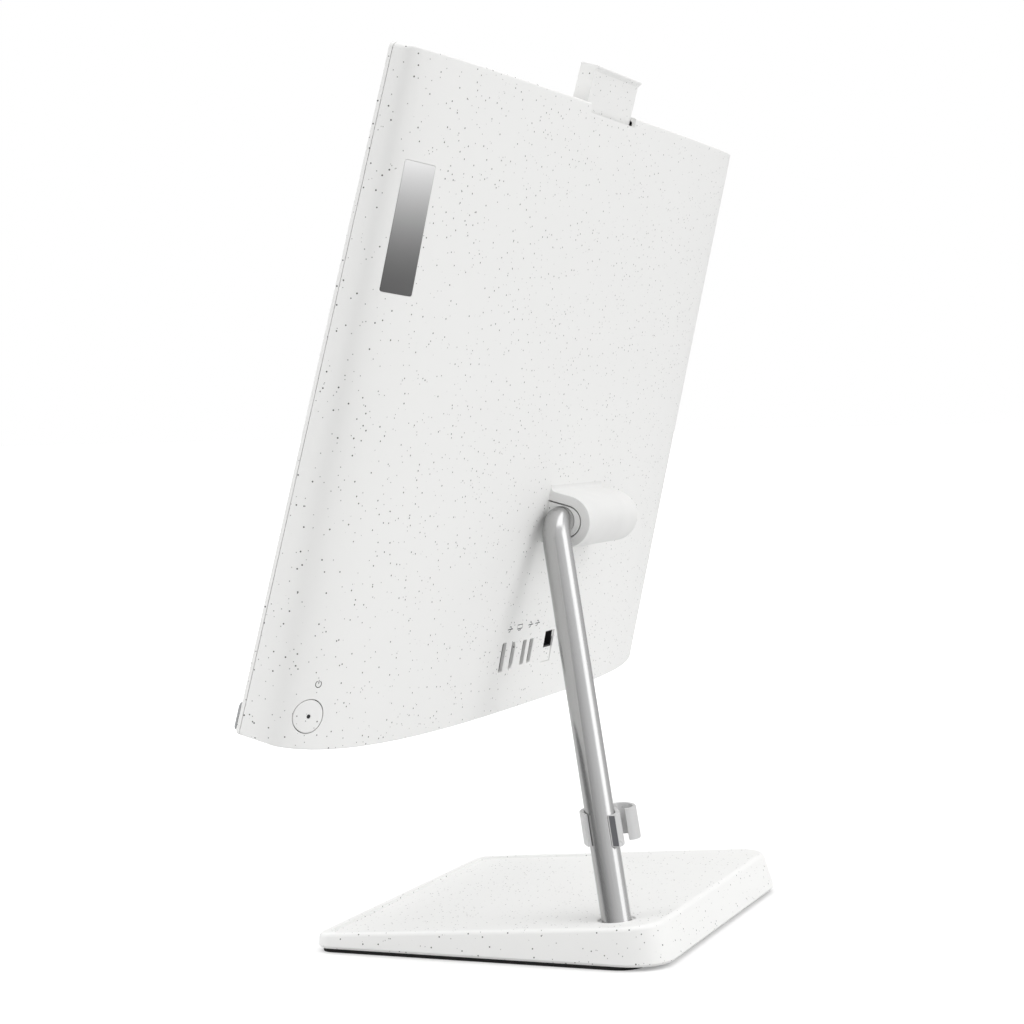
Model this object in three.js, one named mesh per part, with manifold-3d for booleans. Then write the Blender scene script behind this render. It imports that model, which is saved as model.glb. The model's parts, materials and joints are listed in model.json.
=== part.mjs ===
// An all-in-one PC: a screen half that holds the computer, on a bent tube stand with a wedge base.
//
// Millimetres. +Z is up, the screen faces -Y and +X is on the right of someone looking at the screen.
// The origin is on the table under the middle of the base. The screen half is drawn in its own frame,
// where X is across, Y is the depth behind the speaker bar and Z is up the screen, and that frame is then
// tilted back about the hinge. Neighbours that touch are drawn a small gap apart.

import * as THREE from "three";
import { mergeVertices } from "three/addons/utils/BufferGeometryUtils.js";
import Module from "manifold-3d";

const wasm = await Module();
wasm.setup();

const { degToRad, lerp, radToDeg } = THREE.MathUtils;
const GAP = 0.3;

// Screen half, in its own frame
const SCREEN_WIDTH = 541;
const SCREEN_HEIGHT = 350.7;
const SCREEN_TOP = SCREEN_HEIGHT / 2;
const DEPTH_AT_BOTTOM = 59.2;
const DEPTH_AT_TOP = 38;
const EDGE_DEPTH = 8;
const CORNER_RADIUS = 3.5;
const COVER_WALL = 2.2;
const BEZEL_FRONT = 3;
const BEZEL_BACK = BEZEL_FRONT + 2.2;
const COVER_FRONT = BEZEL_BACK + GAP;
const PICTURE_WIDTH = 527;
const PICTURE_HEIGHT = 296.4;
const TOP_BORDER = 6.2;
const BAR_HEIGHT = 14.6;
const BAR_UP = -166.1;
const PICTURE_CENTRE = SCREEN_TOP - TOP_BORDER - PICTURE_HEIGHT / 2;
const SHEET = 1.3;
const CHASSIS_BACK = 10.6;
const BOARD_FRONT = 14;
const BOARD_BACK = 15.6;
const PORT_BOARD_BACK = 41.6;

// Hinge: its axis runs along X
const REST_TILT = degToRad(15.6);
const HINGE_Y = 16.3;
const HINGE_Z = 238.4;
const HINGE_DEPTH = 61.5;
const HINGE_UP = -60;
const SHAFT_RADIUS = 5;
const HOUSING_LEFT = -62;
const HOUSING_RIGHT = 27.5;
const HOUSING_RADIUS = 15.3;
const HOUSING_CENTRE_DEPTH = 64.5;
const CAVITY_RADIUS = 9.6;
const CAP_FACE = 25.3;
const KNUCKLE = [-40, 18];
const KNUCKLE_RADIUS = 8.6;

// Webcam, raised
const WEBCAM_X = 32.2;
const WEBCAM_WIDTH = 76.5;
const WEBCAM_FRONT = 25.2;
const WEBCAM_BACK = 34.5;
const WEBCAM_TOP = SCREEN_TOP + 21;
const NOTCH_FLOOR = SCREEN_TOP - 5.2;

// Power button, on the curved side of the back cover
const BUTTON_X = 257.5;
const BUTTON_UP = -158;
const BUTTON_TURN = degToRad(-35);
const BUTTON_RADIUS = 8.7;

// Rear sockets: centre x, centre height, width and height of each mouth
const SOCKET_UP = -141.6;
const SOCKETS = [
  { name: "usb_port_1", x: 57.3, width: 6.6, height: 17.2 },
  { name: "video_port", x: 42.4, width: 6.2, height: 16.4 },
  { name: "usb_port_2", x: 24.6, width: 6.2, height: 14.8 },
  { name: "usb_port_3", x: 13.3, width: 6.2, height: 14.4 },
  { name: "network_port", x: -16.4, width: 15.6, height: 19.4 },
];
const INLET_X = -50;
const INLET_RADIUS = 4.6;

// Base
const BASE_WIDTH = 250.5;
const BASE_DEPTH = 204;
const BASE_FRONT_HEIGHT = 10.5;
const BASE_REAR_HEIGHT = 24.6;
const BASE_SLOPE = Math.atan2(BASE_REAR_HEIGHT - BASE_FRONT_HEIGHT, BASE_DEPTH);
const BASE_LEAN = 0.00075;
const REAR_REACH = 2.2;
const REAR_LEAN = 0.21;
const BASE_TOP_WALL = 4.4;
const BASE_SIDE_WALL = 3;
const FOOT_THICKNESS = 2;
const FOOT_REAR = 89;
const SHELL_BOTTOM = FOOT_THICKNESS + GAP;
const PLATE_TOP = SHELL_BOTTOM + 2;
const WEIGHT_BOTTOM = PLATE_TOP + GAP;
const WEIGHT_TOP = WEIGHT_BOTTOM + 6;
const FLANGE_BOTTOM = WEIGHT_TOP + GAP;
const FLANGE_TOP = FLANGE_BOTTOM + 4;

// Stand tube: from the hinge it runs along X, bends and leans down to the right rear of the base
const TUBE_RADIUS = 8.25;
const TUBE_WALL = 1.5;
const BEND_RADIUS = 16.5;
const TUBE_CORNER = new THREE.Vector3(38.4, HINGE_Y, HINGE_Z);
const TUBE_AT_BASE = new THREE.Vector3(98.2, 69.6, 22.4);
const TUBE_DOWN = TUBE_AT_BASE.clone().sub(TUBE_CORNER).normalize();
const TUBE_END_HEIGHT = 13.9;

// Cable clip, snapped round the tube
const CLIP_ABOVE_BASE = 50;
const CLIP_HEIGHT = 18.5;
const CLIP_RISE = 0.09;
const GRIP_INNER = TUBE_RADIUS + 0.25;
const GRIP_OUTER = TUBE_RADIUS + 3;
const HOOK_INNER = 5.4;
const HOOK_OUTER = 7.5;
const HOOK_DISTANCE = 18.2;

// ---------------------------------------------------------------- shapes

// A closed three.js geometry as a manifold-3d solid.
function solid(geometry) {
  const bare = geometry.clone();
  bare.deleteAttribute("normal");
  bare.deleteAttribute("uv");
  const merged = mergeVertices(bare, 1e-4);
  return new wasm.Manifold(
    new wasm.Mesh({
      numProp: 3,
      vertProperties: merged.attributes.position.array,
      triVerts: new Uint32Array(merged.index.array),
    }),
  );
}

// A manifold-3d solid as a three.js geometry.
function geometryOf(body) {
  const mesh = body.getMesh();
  const geometry = new THREE.BufferGeometry();
  geometry.setAttribute("position", new THREE.BufferAttribute(mesh.vertProperties, 3));
  geometry.setIndex(new THREE.BufferAttribute(mesh.triVerts, 1));
  geometry.computeVertexNormals();
  return geometry;
}

const join = (first, ...others) => others.reduce((body, other) => body.add(other), first);
const cut = (first, ...others) => others.reduce((body, other) => body.subtract(other), first);

function block([x0, x1], [y0, y1], [z0, z1]) {
  const geometry = new THREE.BoxGeometry(x1 - x0, y1 - y0, z1 - z0);
  geometry.translate((x0 + x1) / 2, (y0 + y1) / 2, (z0 + z1) / 2);
  return solid(geometry);
}

// The span that reaches as far to both sides of a middle.
const around = (middle, reach) => [middle - reach, middle + reach];

// A round rod along X, Y or Z. The centre gives the two other coordinates in X, Y, Z order.
function rod(axis, radius, [from, to], [a, b], sides = 24) {
  const geometry = new THREE.CylinderGeometry(radius, radius, to - from, sides);
  const middle = (from + to) / 2;
  if (axis === "x") geometry.rotateZ(Math.PI / 2).translate(middle, a, b);
  if (axis === "y") geometry.translate(a, middle, b);
  if (axis === "z") geometry.rotateX(Math.PI / 2).translate(a, b, middle);
  return solid(geometry);
}

// A rod along a direction, given by its two ends' distances from a point.
function slantedRod(radius, point, direction, [from, to], sides = 32) {
  const geometry = new THREE.CylinderGeometry(radius, radius, to - from, sides);
  geometry.translate(0, (from + to) / 2, 0);
  const turn = new THREE.Quaternion().setFromUnitVectors(new THREE.Vector3(0, 1, 0), direction);
  return solid(geometry.applyQuaternion(turn).translate(point.x, point.y, point.z));
}

// A rectangle with its own radius at the two bottom and the two top corners.
function roundedRectangle(width, height, bottomRadius, topRadius = bottomRadius) {
  const [x, y] = [width / 2, height / 2];
  const shape = new THREE.Shape();
  shape.moveTo(-x + bottomRadius, -y);
  shape.lineTo(x - bottomRadius, -y);
  shape.absarc(x - bottomRadius, -y + bottomRadius, bottomRadius, -Math.PI / 2, 0);
  shape.lineTo(x, y - topRadius);
  shape.absarc(x - topRadius, y - topRadius, topRadius, 0, Math.PI / 2);
  shape.lineTo(-x + topRadius, y);
  shape.absarc(-x + topRadius, y - topRadius, topRadius, Math.PI / 2, Math.PI);
  shape.lineTo(-x, -y + bottomRadius);
  shape.absarc(-x + bottomRadius, -y + bottomRadius, bottomRadius, Math.PI, 1.5 * Math.PI);
  return shape;
}

function extruded(shape, depth, curveSegments = 5) {
  return new THREE.ExtrudeGeometry(shape, { depth, bevelEnabled: false, curveSegments });
}

// A plate standing across the screen frame, between two depths.
function panel(shape, [front, back], centreX = 0, centreZ = 0) {
  const geometry = extruded(shape, back - front);
  return solid(geometry.rotateX(Math.PI / 2).translate(centreX, back, centreZ));
}

// Depth of the back cover's outside at a place on the screen: a dome that is blunt across and thins
// evenly towards the top.
function backDepth(x, z) {
  const up = z / SCREEN_HEIGHT + 0.5;
  const middle = lerp(DEPTH_AT_BOTTOM, DEPTH_AT_TOP, up);
  const power = lerp(3.1, 2.8, up);
  const across = Math.min(Math.abs(x) / (SCREEN_WIDTH / 2), 1);
  return EDGE_DEPTH + (middle - EDGE_DEPTH) * (1 - across ** power) ** (1 / power);
}

// The cover's dome, moved inwards by an inset, from a flat front. Its columns crowd towards the edges.
function dome(inset, front) {
  const geometry = new THREE.BoxGeometry(2, 2, 1, 40, 1, 5);
  const place = geometry.attributes.position;
  const halfWidth = SCREEN_WIDTH / 2 - inset;
  for (let i = 0; i < place.count; i += 1) {
    const across = Math.sin((place.getX(i) * Math.PI) / 2);
    const z = place.getZ(i) * (SCREEN_HEIGHT - 2 * inset);
    const back = backDepth((across * SCREEN_WIDTH) / 2, z) - inset;
    place.setXYZ(i, across * halfWidth, place.getY(i) > 0 ? back : front, z);
  }
  return solid(geometry);
}

const outerDome = dome(0, COVER_FRONT);
const clearOfDome = dome(-GAP, COVER_FRONT);

// ---------------------------------------------------------------- finishes

const finish = (color, roughness, metalness = 0) => () =>
  new THREE.MeshStandardMaterial({ color, roughness, metalness });

const whitePlastic = finish(0xf1f1f0, 0.5);
const clipPlastic = finish(0xc9cbcc, 0.3);
const blackPlastic = finish(0x1b1c1e, 0.5);
const screenBlack = finish(0x08090b, 0.12);
const speakerCloth = finish(0xb9bbbd, 0.9);
const brushedSteel = finish(0xa9abac, 0.28, 1);
const badgeMetal = finish(0x7d7f82, 0.3, 1);
const sheetSteel = finish(0x9a9da0, 0.45, 1);
const darkSteel = finish(0x55585c, 0.5, 1);
const copper = finish(0xb5693d, 0.3, 1);
const aluminium = finish(0xc2c5c8, 0.4, 1);
const circuitBoard = finish(0x1f5138, 0.55);
const chipBlack = finish(0x202124, 0.6);
const rubber = finish(0x161617, 0.85);

// Adds a solid to a group as a named mesh with a material of its own.
function add(group, name, body, material) {
  const mesh = new THREE.Mesh(geometryOf(body), material());
  mesh.name = name;
  group.add(mesh);
}

// ---------------------------------------------------------------- frames

const computer = new THREE.Group();

const tilted = new THREE.Group();
tilted.position.set(0, HINGE_Y, HINGE_Z);
tilted.rotation.x = -REST_TILT;
computer.add(tilted);

const screen = new THREE.Group();
screen.position.set(0, -HINGE_DEPTH, -HINGE_UP);
tilted.add(screen);

// ---------------------------------------------------------------- screen shell

const VENT_PITCH = 7;
const VENT_WIDTH = 3;

// The row of narrow slots where air enters at the bottom or leaves at the top.
function ventSlots(count, firstX, z, [front, back]) {
  const slots = [];
  for (let i = 0; i < count; i += 1) {
    const x = firstX + i * VENT_PITCH;
    slots.push(block([x, x + VENT_WIDTH], [front, back], around(z, 4)));
  }
  return slots;
}

// A rod along the button's axis, given by its ends' distances outwards from the cover's outside.
function buttonRod(radius, [from, to], sides = 32) {
  const centre = new THREE.Vector3(BUTTON_X, backDepth(BUTTON_X, BUTTON_UP), BUTTON_UP);
  const outward = new THREE.Vector3(0, 1, 0).applyAxisAngle(new THREE.Vector3(0, 0, 1), BUTTON_TURN);
  return slantedRod(radius, centre, outward, [from, to], sides);
}

const BADGE_X = 253.3;
const BADGE_UP = 89.4;
const BADGE_HEIGHT = 65.6;
const BADGE_WIDTH = 21.6;
const BADGE_TURN = degToRad(-24);

// The badge is a thin curved strip of the cover's outside, between two depths under the surface.
function badgeStrip(under, over, margin) {
  const turn = new THREE.Quaternion().setFromAxisAngle(new THREE.Vector3(0, 0, 1), BADGE_TURN);
  const window = new THREE.BoxGeometry(BADGE_WIDTH + 2 * margin, 30, BADGE_HEIGHT + 2 * margin);
  window.applyQuaternion(turn).translate(BADGE_X, backDepth(BADGE_X, BADGE_UP), BADGE_UP);
  return solid(window).intersect(dome(over, 0)).subtract(dome(under, -1));
}

function addBackCover() {
  const outline = roundedRectangle(SCREEN_WIDTH + 1, SCREEN_HEIGHT, CORNER_RADIUS);
  const outside = outerDome.intersect(panel(outline, [0, 80]));
  const webcamSpan = around(WEBCAM_X, WEBCAM_WIDTH / 2 + 2 * GAP);
  const notch = [NOTCH_FLOOR, SCREEN_TOP + 5];
  const knuckleSpan = [KNUCKLE[0] - 2, KNUCKLE[1] + 2];
  const openings = [
    block(webcamSpan, [WEBCAM_FRONT - 2 * GAP, DEPTH_AT_TOP + 5], notch),
    buttonRod(BUTTON_RADIUS + 0.4, [-9, 12]),
    rod("y", INLET_RADIUS, [40, 80], [INLET_X, SOCKET_UP]),
    block(knuckleSpan, [30, 80], around(HINGE_UP, KNUCKLE_RADIUS + 0.8)),
    ...ventSlots(16, -232, SCREEN_TOP, [14, 24]),
    ...ventSlots(24, -90, -SCREEN_TOP, [20, 38]),
  ];
  for (const { x, width, height } of SOCKETS) {
    openings.push(block(around(x, width / 2), [40, 80], around(SOCKET_UP, height / 2)));
  }
  const shell = cut(outside, dome(COVER_WALL, -5), ...openings);
  add(screen, "back_cover", shell.subtract(badgeStrip(1, -2, GAP)), whitePlastic);
  add(screen, "badge_plate", badgeStrip(0.7, -0.1, 0), badgeMetal);
}

function addFront() {
  const outline = roundedRectangle(SCREEN_WIDTH, SCREEN_HEIGHT, CORNER_RADIUS);
  const frame = panel(outline, [BEZEL_FRONT, BEZEL_BACK]);
  const window = roundedRectangle(PICTURE_WIDTH + 2 * GAP, PICTURE_HEIGHT + 2 * GAP, 1);
  const bezel = cut(frame, panel(window, [0, COVER_FRONT], 0, PICTURE_CENTRE));
  add(screen, "front_bezel", bezel, whitePlastic);

  const picture = roundedRectangle(PICTURE_WIDTH, PICTURE_HEIGHT, 1);
  const face = panel(picture, [BEZEL_FRONT + 0.5, BEZEL_BACK], 0, PICTURE_CENTRE);
  add(screen, "screen_face", face, screenBlack);

  const tray = roundedRectangle(PICTURE_WIDTH + 5, PICTURE_HEIGHT + 4, 2);
  const lightGuide = panel(tray, [COVER_FRONT, CHASSIS_BACK - SHEET - GAP], 0, PICTURE_CENTRE);
  add(screen, "backlight_tray", lightGuide, aluminium);

  const bar = roundedRectangle(SCREEN_WIDTH - 1.5, BAR_HEIGHT, 2.5);
  add(screen, "speaker_bar", panel(bar, [BEZEL_FRONT - 1.6, BEZEL_FRONT - GAP], 0, BAR_UP), speakerCloth);
}

// A pressed steel sheet with stiffening ribs, which everything inside is screwed to.
function addChassis() {
  const sheet = block([-246, 246], [CHASSIS_BACK - SHEET, CHASSIS_BACK], [-155, 148]);
  const ribDepths = [CHASSIS_BACK - 0.5, CHASSIS_BACK + 1.2];
  const ribs = [-127, 123].map((z) => block([-200, 200], ribDepths, around(z, 3)));
  const screwHoles = BRACKET_SCREWS.map(([x, z]) => rod("y", 1.9, [0, 20], [x, z], 12));
  add(screen, "chassis_plate", cut(join(sheet, ...ribs), ...screwHoles), sheetSteel);
}

// ---------------------------------------------------------------- computer

// Cooling: a blower pulls air through the bottom slots and pushes it through the fins to the top.
const FAN_X = -170;
const FAN_UP = 76;
const FAN_RADIUS = 27;
const FAN_FRONT = 12;
const FAN_BACK = 25;

function addFanHousing() {
  const scroll = roundedRectangle(66, 66, 12, 2);
  const bore = rod("y", FAN_RADIUS + 2, [FAN_FRONT + 1.5, FAN_BACK + 5], [FAN_X, FAN_UP], 32);
  const outlet = block(around(FAN_X, 24), [FAN_FRONT + 1.5, FAN_BACK - 1.5], [FAN_UP, FAN_UP + 40]);
  const bearing = rod("y", 1.9, [0, 20], [FAN_X, FAN_UP], 16);
  const housing = cut(panel(scroll, [FAN_FRONT, FAN_BACK], FAN_X, FAN_UP), bore, outlet, bearing);
  add(screen, "fan_housing", housing, blackPlastic);
}

function addFanRotor() {
  const hub = rod("y", 11, [FAN_FRONT + 2.5, FAN_BACK - 2], [FAN_X, FAN_UP], 20);
  const pin = rod("y", 1.5, [FAN_FRONT + 0.3, FAN_FRONT + 3], [FAN_X, FAN_UP], 12);
  const blades = [];
  const bladeCount = 15;
  for (let i = 0; i < bladeCount; i += 1) {
    const blade = new THREE.BoxGeometry(18, FAN_BACK - FAN_FRONT - 5.5, 1);
    blade.rotateY(0.35).translate(17, (FAN_FRONT + FAN_BACK) / 2 + 0.6, 0);
    blade.rotateY((i * 2 * Math.PI) / bladeCount).translate(FAN_X, 0, FAN_UP);
    blades.push(solid(blade));
  }
  add(screen, "fan_rotor", join(hub, pin, ...blades), blackPlastic);
}

// Fins in a comb outline, on the blower's outlet.
function addHeatSink() {
  const fins = 16;
  const pitch = 3.2;
  const comb = new THREE.Shape();
  comb.moveTo(0, 0);
  for (let i = 0; i < fins; i += 1) {
    comb.lineTo(i * pitch, 10);
    comb.lineTo(i * pitch + 1, 10);
    comb.lineTo(i * pitch + 1, 1.5);
    comb.lineTo((i + 1) * pitch, 1.5);
  }
  comb.lineTo(fins * pitch, 0);
  const geometry = extruded(comb, 18).translate(FAN_X - (fins * pitch) / 2, FAN_FRONT + 1, FAN_UP + 35);
  add(screen, "heat_sink", solid(geometry), aluminium);
}

const PROCESSOR = [-125, -38];

function addHeatPipe() {
  const depth = FAN_FRONT + 14.6;
  const path = new THREE.CatmullRomCurve3(
    [
      [PROCESSOR[0], PROCESSOR[1] - 18],
      [PROCESSOR[0], PROCESSOR[1] + 18],
      [PROCESSOR[0] + 4, 30],
      [PROCESSOR[0] + 4, 90],
      [PROCESSOR[0] - 14, 120],
      [FAN_X - 24, 121],
    ].map(([x, z]) => new THREE.Vector3(x, depth, z)),
  );
  const section = new THREE.Shape().absellipse(0, 0, 2.4, 3.6, 0, 2 * Math.PI);
  const geometry = new THREE.ExtrudeGeometry(section, { steps: 30, extrudePath: path, curveSegments: 5 });
  add(screen, "heat_pipe", solid(geometry), copper);
}

function addSystemBoard() {
  const board = block([-190, -62], [BOARD_FRONT, BOARD_BACK], [-118, 36]);
  add(screen, "system_board", board, circuitBoard);
  const chip = BOARD_BACK + GAP;
  const [x, z] = PROCESSOR;
  add(screen, "processor", block(around(x, 14), [chip, chip + 2], around(z, 11)), chipBlack);
  const plate = block(around(x, 24), [chip + 2 + GAP, chip + 6], around(z, 20));
  add(screen, "cold_plate", plate, copper);
  [-112, -84].forEach((bottom, i) => {
    const module = block([-150, -82], [chip, chip + 3.6], [bottom, bottom + 22]);
    add(screen, `memory_module_${i + 1}`, module, circuitBoard);
  });
  const storage = block([-186, -164], [chip, chip + 3], [-100, -20]);
  add(screen, "storage_module", storage, circuitBoard);
  const wireless = block([-92, -66], [chip, chip + 2.4], [-2, 20]);
  add(screen, "wireless_card", wireless, circuitBoard);
}

function addSockets() {
  const board = block([-64, 66], [PORT_BOARD_BACK - 1.6, PORT_BOARD_BACK], around(SOCKET_UP, 14));
  add(screen, "port_board", board, circuitBoard);
  const wall = 1;
  const [rear, floor] = [PORT_BOARD_BACK + GAP, PORT_BOARD_BACK + 2];
  const mouth = (x) => backDepth(x, SOCKET_UP + 12) - COVER_WALL - GAP;
  for (const { name, x, width, height } of SOCKETS) {
    const heights = around(SOCKET_UP, height / 2 + wall);
    const shell = block(around(x, width / 2 + wall), [rear, mouth(x)], heights);
    const inside = block(around(x, width / 2), [floor, mouth(x) + 5], around(SOCKET_UP, height / 2));
    add(screen, name, cut(shell, inside), name === "network_port" ? blackPlastic : sheetSteel);
  }
  const barrel = rod("y", INLET_RADIUS + 1.4, [rear, mouth(INLET_X)], [INLET_X, SOCKET_UP]);
  const bore = rod("y", INLET_RADIUS, [floor, 80], [INLET_X, SOCKET_UP]);
  add(screen, "power_inlet", cut(barrel, bore), blackPlastic);
}

function addDrive() {
  const [left, right, bottom, top] = [96, 196, -106, -36];
  const driveFront = CHASSIS_BACK + 2.4;
  const drive = block([left, right], [driveFront, driveFront + 9.5], [bottom, top]);
  add(screen, "hard_drive", drive, aluminium);
  const heights = [bottom + 8, top - 8];
  const floor = block([left - 6, right + 6], [CHASSIS_BACK + GAP, driveFront - GAP], heights);
  const cheeks = [
    [left - 6, left - GAP],
    [right + GAP, right + 6],
  ].map((span) => block(span, [CHASSIS_BACK + GAP, driveFront + 8], heights));
  add(screen, "drive_bracket", join(floor, ...cheeks), sheetSteel);
}

function addSpeakersAndAntennas() {
  const enclosure = roundedRectangle(86, 30, 6);
  for (const [side, sign] of [
    ["left", -1],
    ["right", 1],
  ]) {
    const speaker = panel(enclosure, [CHASSIS_BACK + 0.6, 26], sign * 188, -146);
    add(screen, `speaker_${side}`, speaker, blackPlastic);
    const strip = block(around(sign * 205, 18), [11, 12.2], around(157, 5));
    add(screen, `antenna_${side}`, strip, circuitBoard);
  }
}

// ---------------------------------------------------------------- webcam and power button

function addWebcam() {
  const [left, right] = around(WEBCAM_X, WEBCAM_WIDTH / 2);
  const lensUp = WEBCAM_TOP - 8.5;
  const slab = block([left, right], [WEBCAM_FRONT, WEBCAM_BACK], [WEBCAM_TOP - 46, WEBCAM_TOP]);
  const lipDepths = [WEBCAM_BACK - 1, WEBCAM_BACK + 1.8];
  const fingerLip = block([left, right], lipDepths, [WEBCAM_TOP - 3, WEBCAM_TOP]);
  const faceShape = (margin) => roundedRectangle(60 + margin, 12 + margin, 6);
  const pocketDepths = [WEBCAM_FRONT - 1, WEBCAM_FRONT + 1 + GAP];
  const facePocket = panel(faceShape(2 * GAP), pocketDepths, WEBCAM_X, lensUp);
  add(screen, "webcam_body", cut(join(slab, fingerLip), facePocket), whitePlastic);

  const face = panel(faceShape(0), [WEBCAM_FRONT - 0.1, WEBCAM_FRONT + 1], WEBCAM_X, lensUp);
  const lensCentre = [WEBCAM_X, lensUp];
  const lensPocket = rod("y", 3.2 + GAP, [WEBCAM_FRONT - 1, WEBCAM_FRONT + 0.5], lensCentre);
  add(screen, "webcam_face", cut(face, lensPocket), screenBlack);
  const lens = rod("y", 3.2, [WEBCAM_FRONT - 0.3, WEBCAM_FRONT + 0.2], lensCentre);
  add(screen, "webcam_lens", lens, screenBlack);

  const wall = 3;
  const [floor, ceiling] = [96, 168];
  const span = [left - wall, right + wall];
  const back = block(span, [WEBCAM_FRONT - 2.2, WEBCAM_FRONT - 0.8], [floor, ceiling]);
  const rails = [
    [left - wall, left - 0.5],
    [right + 0.5, right + wall],
  ].map((side) => block(side, [WEBCAM_FRONT - 1, WEBCAM_BACK], [floor, ceiling]));
  const stop = block(span, [WEBCAM_FRONT - 1, WEBCAM_BACK - 2], [floor, floor + wall]);
  add(screen, "webcam_guide", join(back, stop, ...rails), blackPlastic);
}

function addPowerButton() {
  const capBottom = -6;
  const light = [0.15, -1.2];
  const cap = buttonRod(BUTTON_RADIUS, [capBottom, 5]).intersect(outerDome);
  add(screen, "power_button", cut(cap, buttonRod(1.3, [light[1] - GAP, 5], 12)), whitePlastic);
  add(screen, "power_light", buttonRod(1, [light[1], light[0]], 12), chipBlack);
  const plunger = buttonRod(2, [-8.6, -7], 12);
  add(screen, "power_switch", join(plunger, buttonRod(7, [-10, -8.5], 16)), circuitBoard);
}

// ---------------------------------------------------------------- hinge

// A slab across the hinge with a round rear end, from inside the cover to behind it.
function hingeSlab(radius, [left, right], bevel = 0) {
  const shape = new THREE.Shape();
  const front = 40;
  const round = HOUSING_CENTRE_DEPTH;
  const inner = radius - bevel;
  shape.moveTo(front, -inner);
  shape.lineTo(round, -inner);
  shape.absarc(round, 0, inner, -Math.PI / 2, Math.PI / 2);
  shape.lineTo(front, inner);
  shape.closePath();
  const geometry = new THREE.ExtrudeGeometry(shape, {
    depth: right - left - 2 * bevel,
    curveSegments: 14,
    bevelEnabled: bevel > 0,
    bevelSize: bevel,
    bevelThickness: bevel,
    bevelSegments: 3,
  });
  geometry.applyMatrix4(
    new THREE.Matrix4().makeBasis(
      new THREE.Vector3(0, 1, 0),
      new THREE.Vector3(0, 0, 1),
      new THREE.Vector3(1, 0, 0),
    ),
  );
  return solid(geometry.translate(left + bevel, 0, HINGE_UP));
}

const BRACKET_SCREWS = [
  [-45, HINGE_UP + 26],
  [24, HINGE_UP - 26],
];

function addHinge() {
  const endTrim = 8;
  const rounded = hingeSlab(HOUSING_RADIUS, [HOUSING_LEFT, HOUSING_RIGHT + endTrim], 6);
  const housing = cut(
    rounded,
    block([HOUSING_RIGHT, HOUSING_RIGHT + 20], [0, 100], [-100, 0]),
    hingeSlab(CAVITY_RADIUS, [HOUSING_LEFT + 6, HOUSING_RIGHT + 5]),
    clearOfDome,
  );
  add(screen, "hinge_housing", housing, whitePlastic);

  const cap = cut(
    hingeSlab(CAVITY_RADIUS - GAP, [CAP_FACE - 3, CAP_FACE]),
    rod("x", SHAFT_RADIUS + 0.6, [0, 50], [HINGE_DEPTH, HINGE_UP]),
    clearOfDome,
  );
  add(screen, "hinge_end_cap", cap, whitePlastic);

  const foot = block([-54, 33], [CHASSIS_BACK + GAP, CHASSIS_BACK + 2.8], around(HINGE_UP, 35));
  const arm = block(KNUCKLE, [CHASSIS_BACK + 2, HINGE_DEPTH - 5], around(HINGE_UP, 3));
  const knuckle = rod("x", KNUCKLE_RADIUS, KNUCKLE, [HINGE_DEPTH, HINGE_UP]);
  const bore = rod("x", SHAFT_RADIUS + GAP, [-60, 60], [HINGE_DEPTH, HINGE_UP]);
  const holes = BRACKET_SCREWS.map(([x, z]) => rod("y", 1.9, [0, 20], [x, z], 12));
  add(screen, "hinge_bracket", cut(join(foot, arm, knuckle), bore, ...holes), darkSteel);
  BRACKET_SCREWS.forEach(([x, z], i) => {
    const shank = rod("y", 1.5, [CHASSIS_BACK - 1, CHASSIS_BACK + 4], [x, z], 12);
    const head = rod("y", 3, [CHASSIS_BACK + 3.1, CHASSIS_BACK + 5], [x, z], 16);
    add(screen, `bracket_screw_${i + 1}`, join(shank, head), darkSteel);
  });

  const axis = [HINGE_Y, HINGE_Z];
  const washerStart = KNUCKLE[0] - GAP;
  const washer = 1.4;
  const shaftEnd = washerStart - 2 * washer - 2 * GAP - 7;
  const tubeEnd = tubeBend().start.x;
  add(computer, "hinge_shaft", rod("x", SHAFT_RADIUS, [shaftEnd, tubeEnd - GAP], axis), darkSteel);
  for (const i of [0, 1]) {
    const right = washerStart - i * (washer + GAP);
    const disc = rod("x", 8.4, [right - washer, right], axis);
    const eye = rod("x", SHAFT_RADIUS + GAP, [-80, 0], axis);
    add(computer, `friction_washer_${i + 1}`, cut(disc, eye), copper);
  }
  const nutRight = washerStart - 2 * (washer + GAP);
  const nut = cut(
    rod("x", 8, [nutRight - 5, nutRight], axis, 6),
    rod("x", SHAFT_RADIUS + GAP, [-80, 0], axis),
  );
  add(computer, "hinge_nut", nut, darkSteel);
}

// ---------------------------------------------------------------- stand

// The bend that joins the two straight legs of the tube: its ends, its middle and its centre.
function tubeBend() {
  const along = new THREE.Vector3(-1, 0, 0);
  const half = along.angleTo(TUBE_DOWN) / 2;
  const reach = BEND_RADIUS / Math.tan(half);
  const start = TUBE_CORNER.clone().addScaledVector(along, reach);
  const end = TUBE_CORNER.clone().addScaledVector(TUBE_DOWN, reach);
  const inward = along.clone().add(TUBE_DOWN).normalize();
  const centre = TUBE_CORNER.clone().addScaledVector(inward, BEND_RADIUS / Math.sin(half));
  return { start, end, centre };
}

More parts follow.
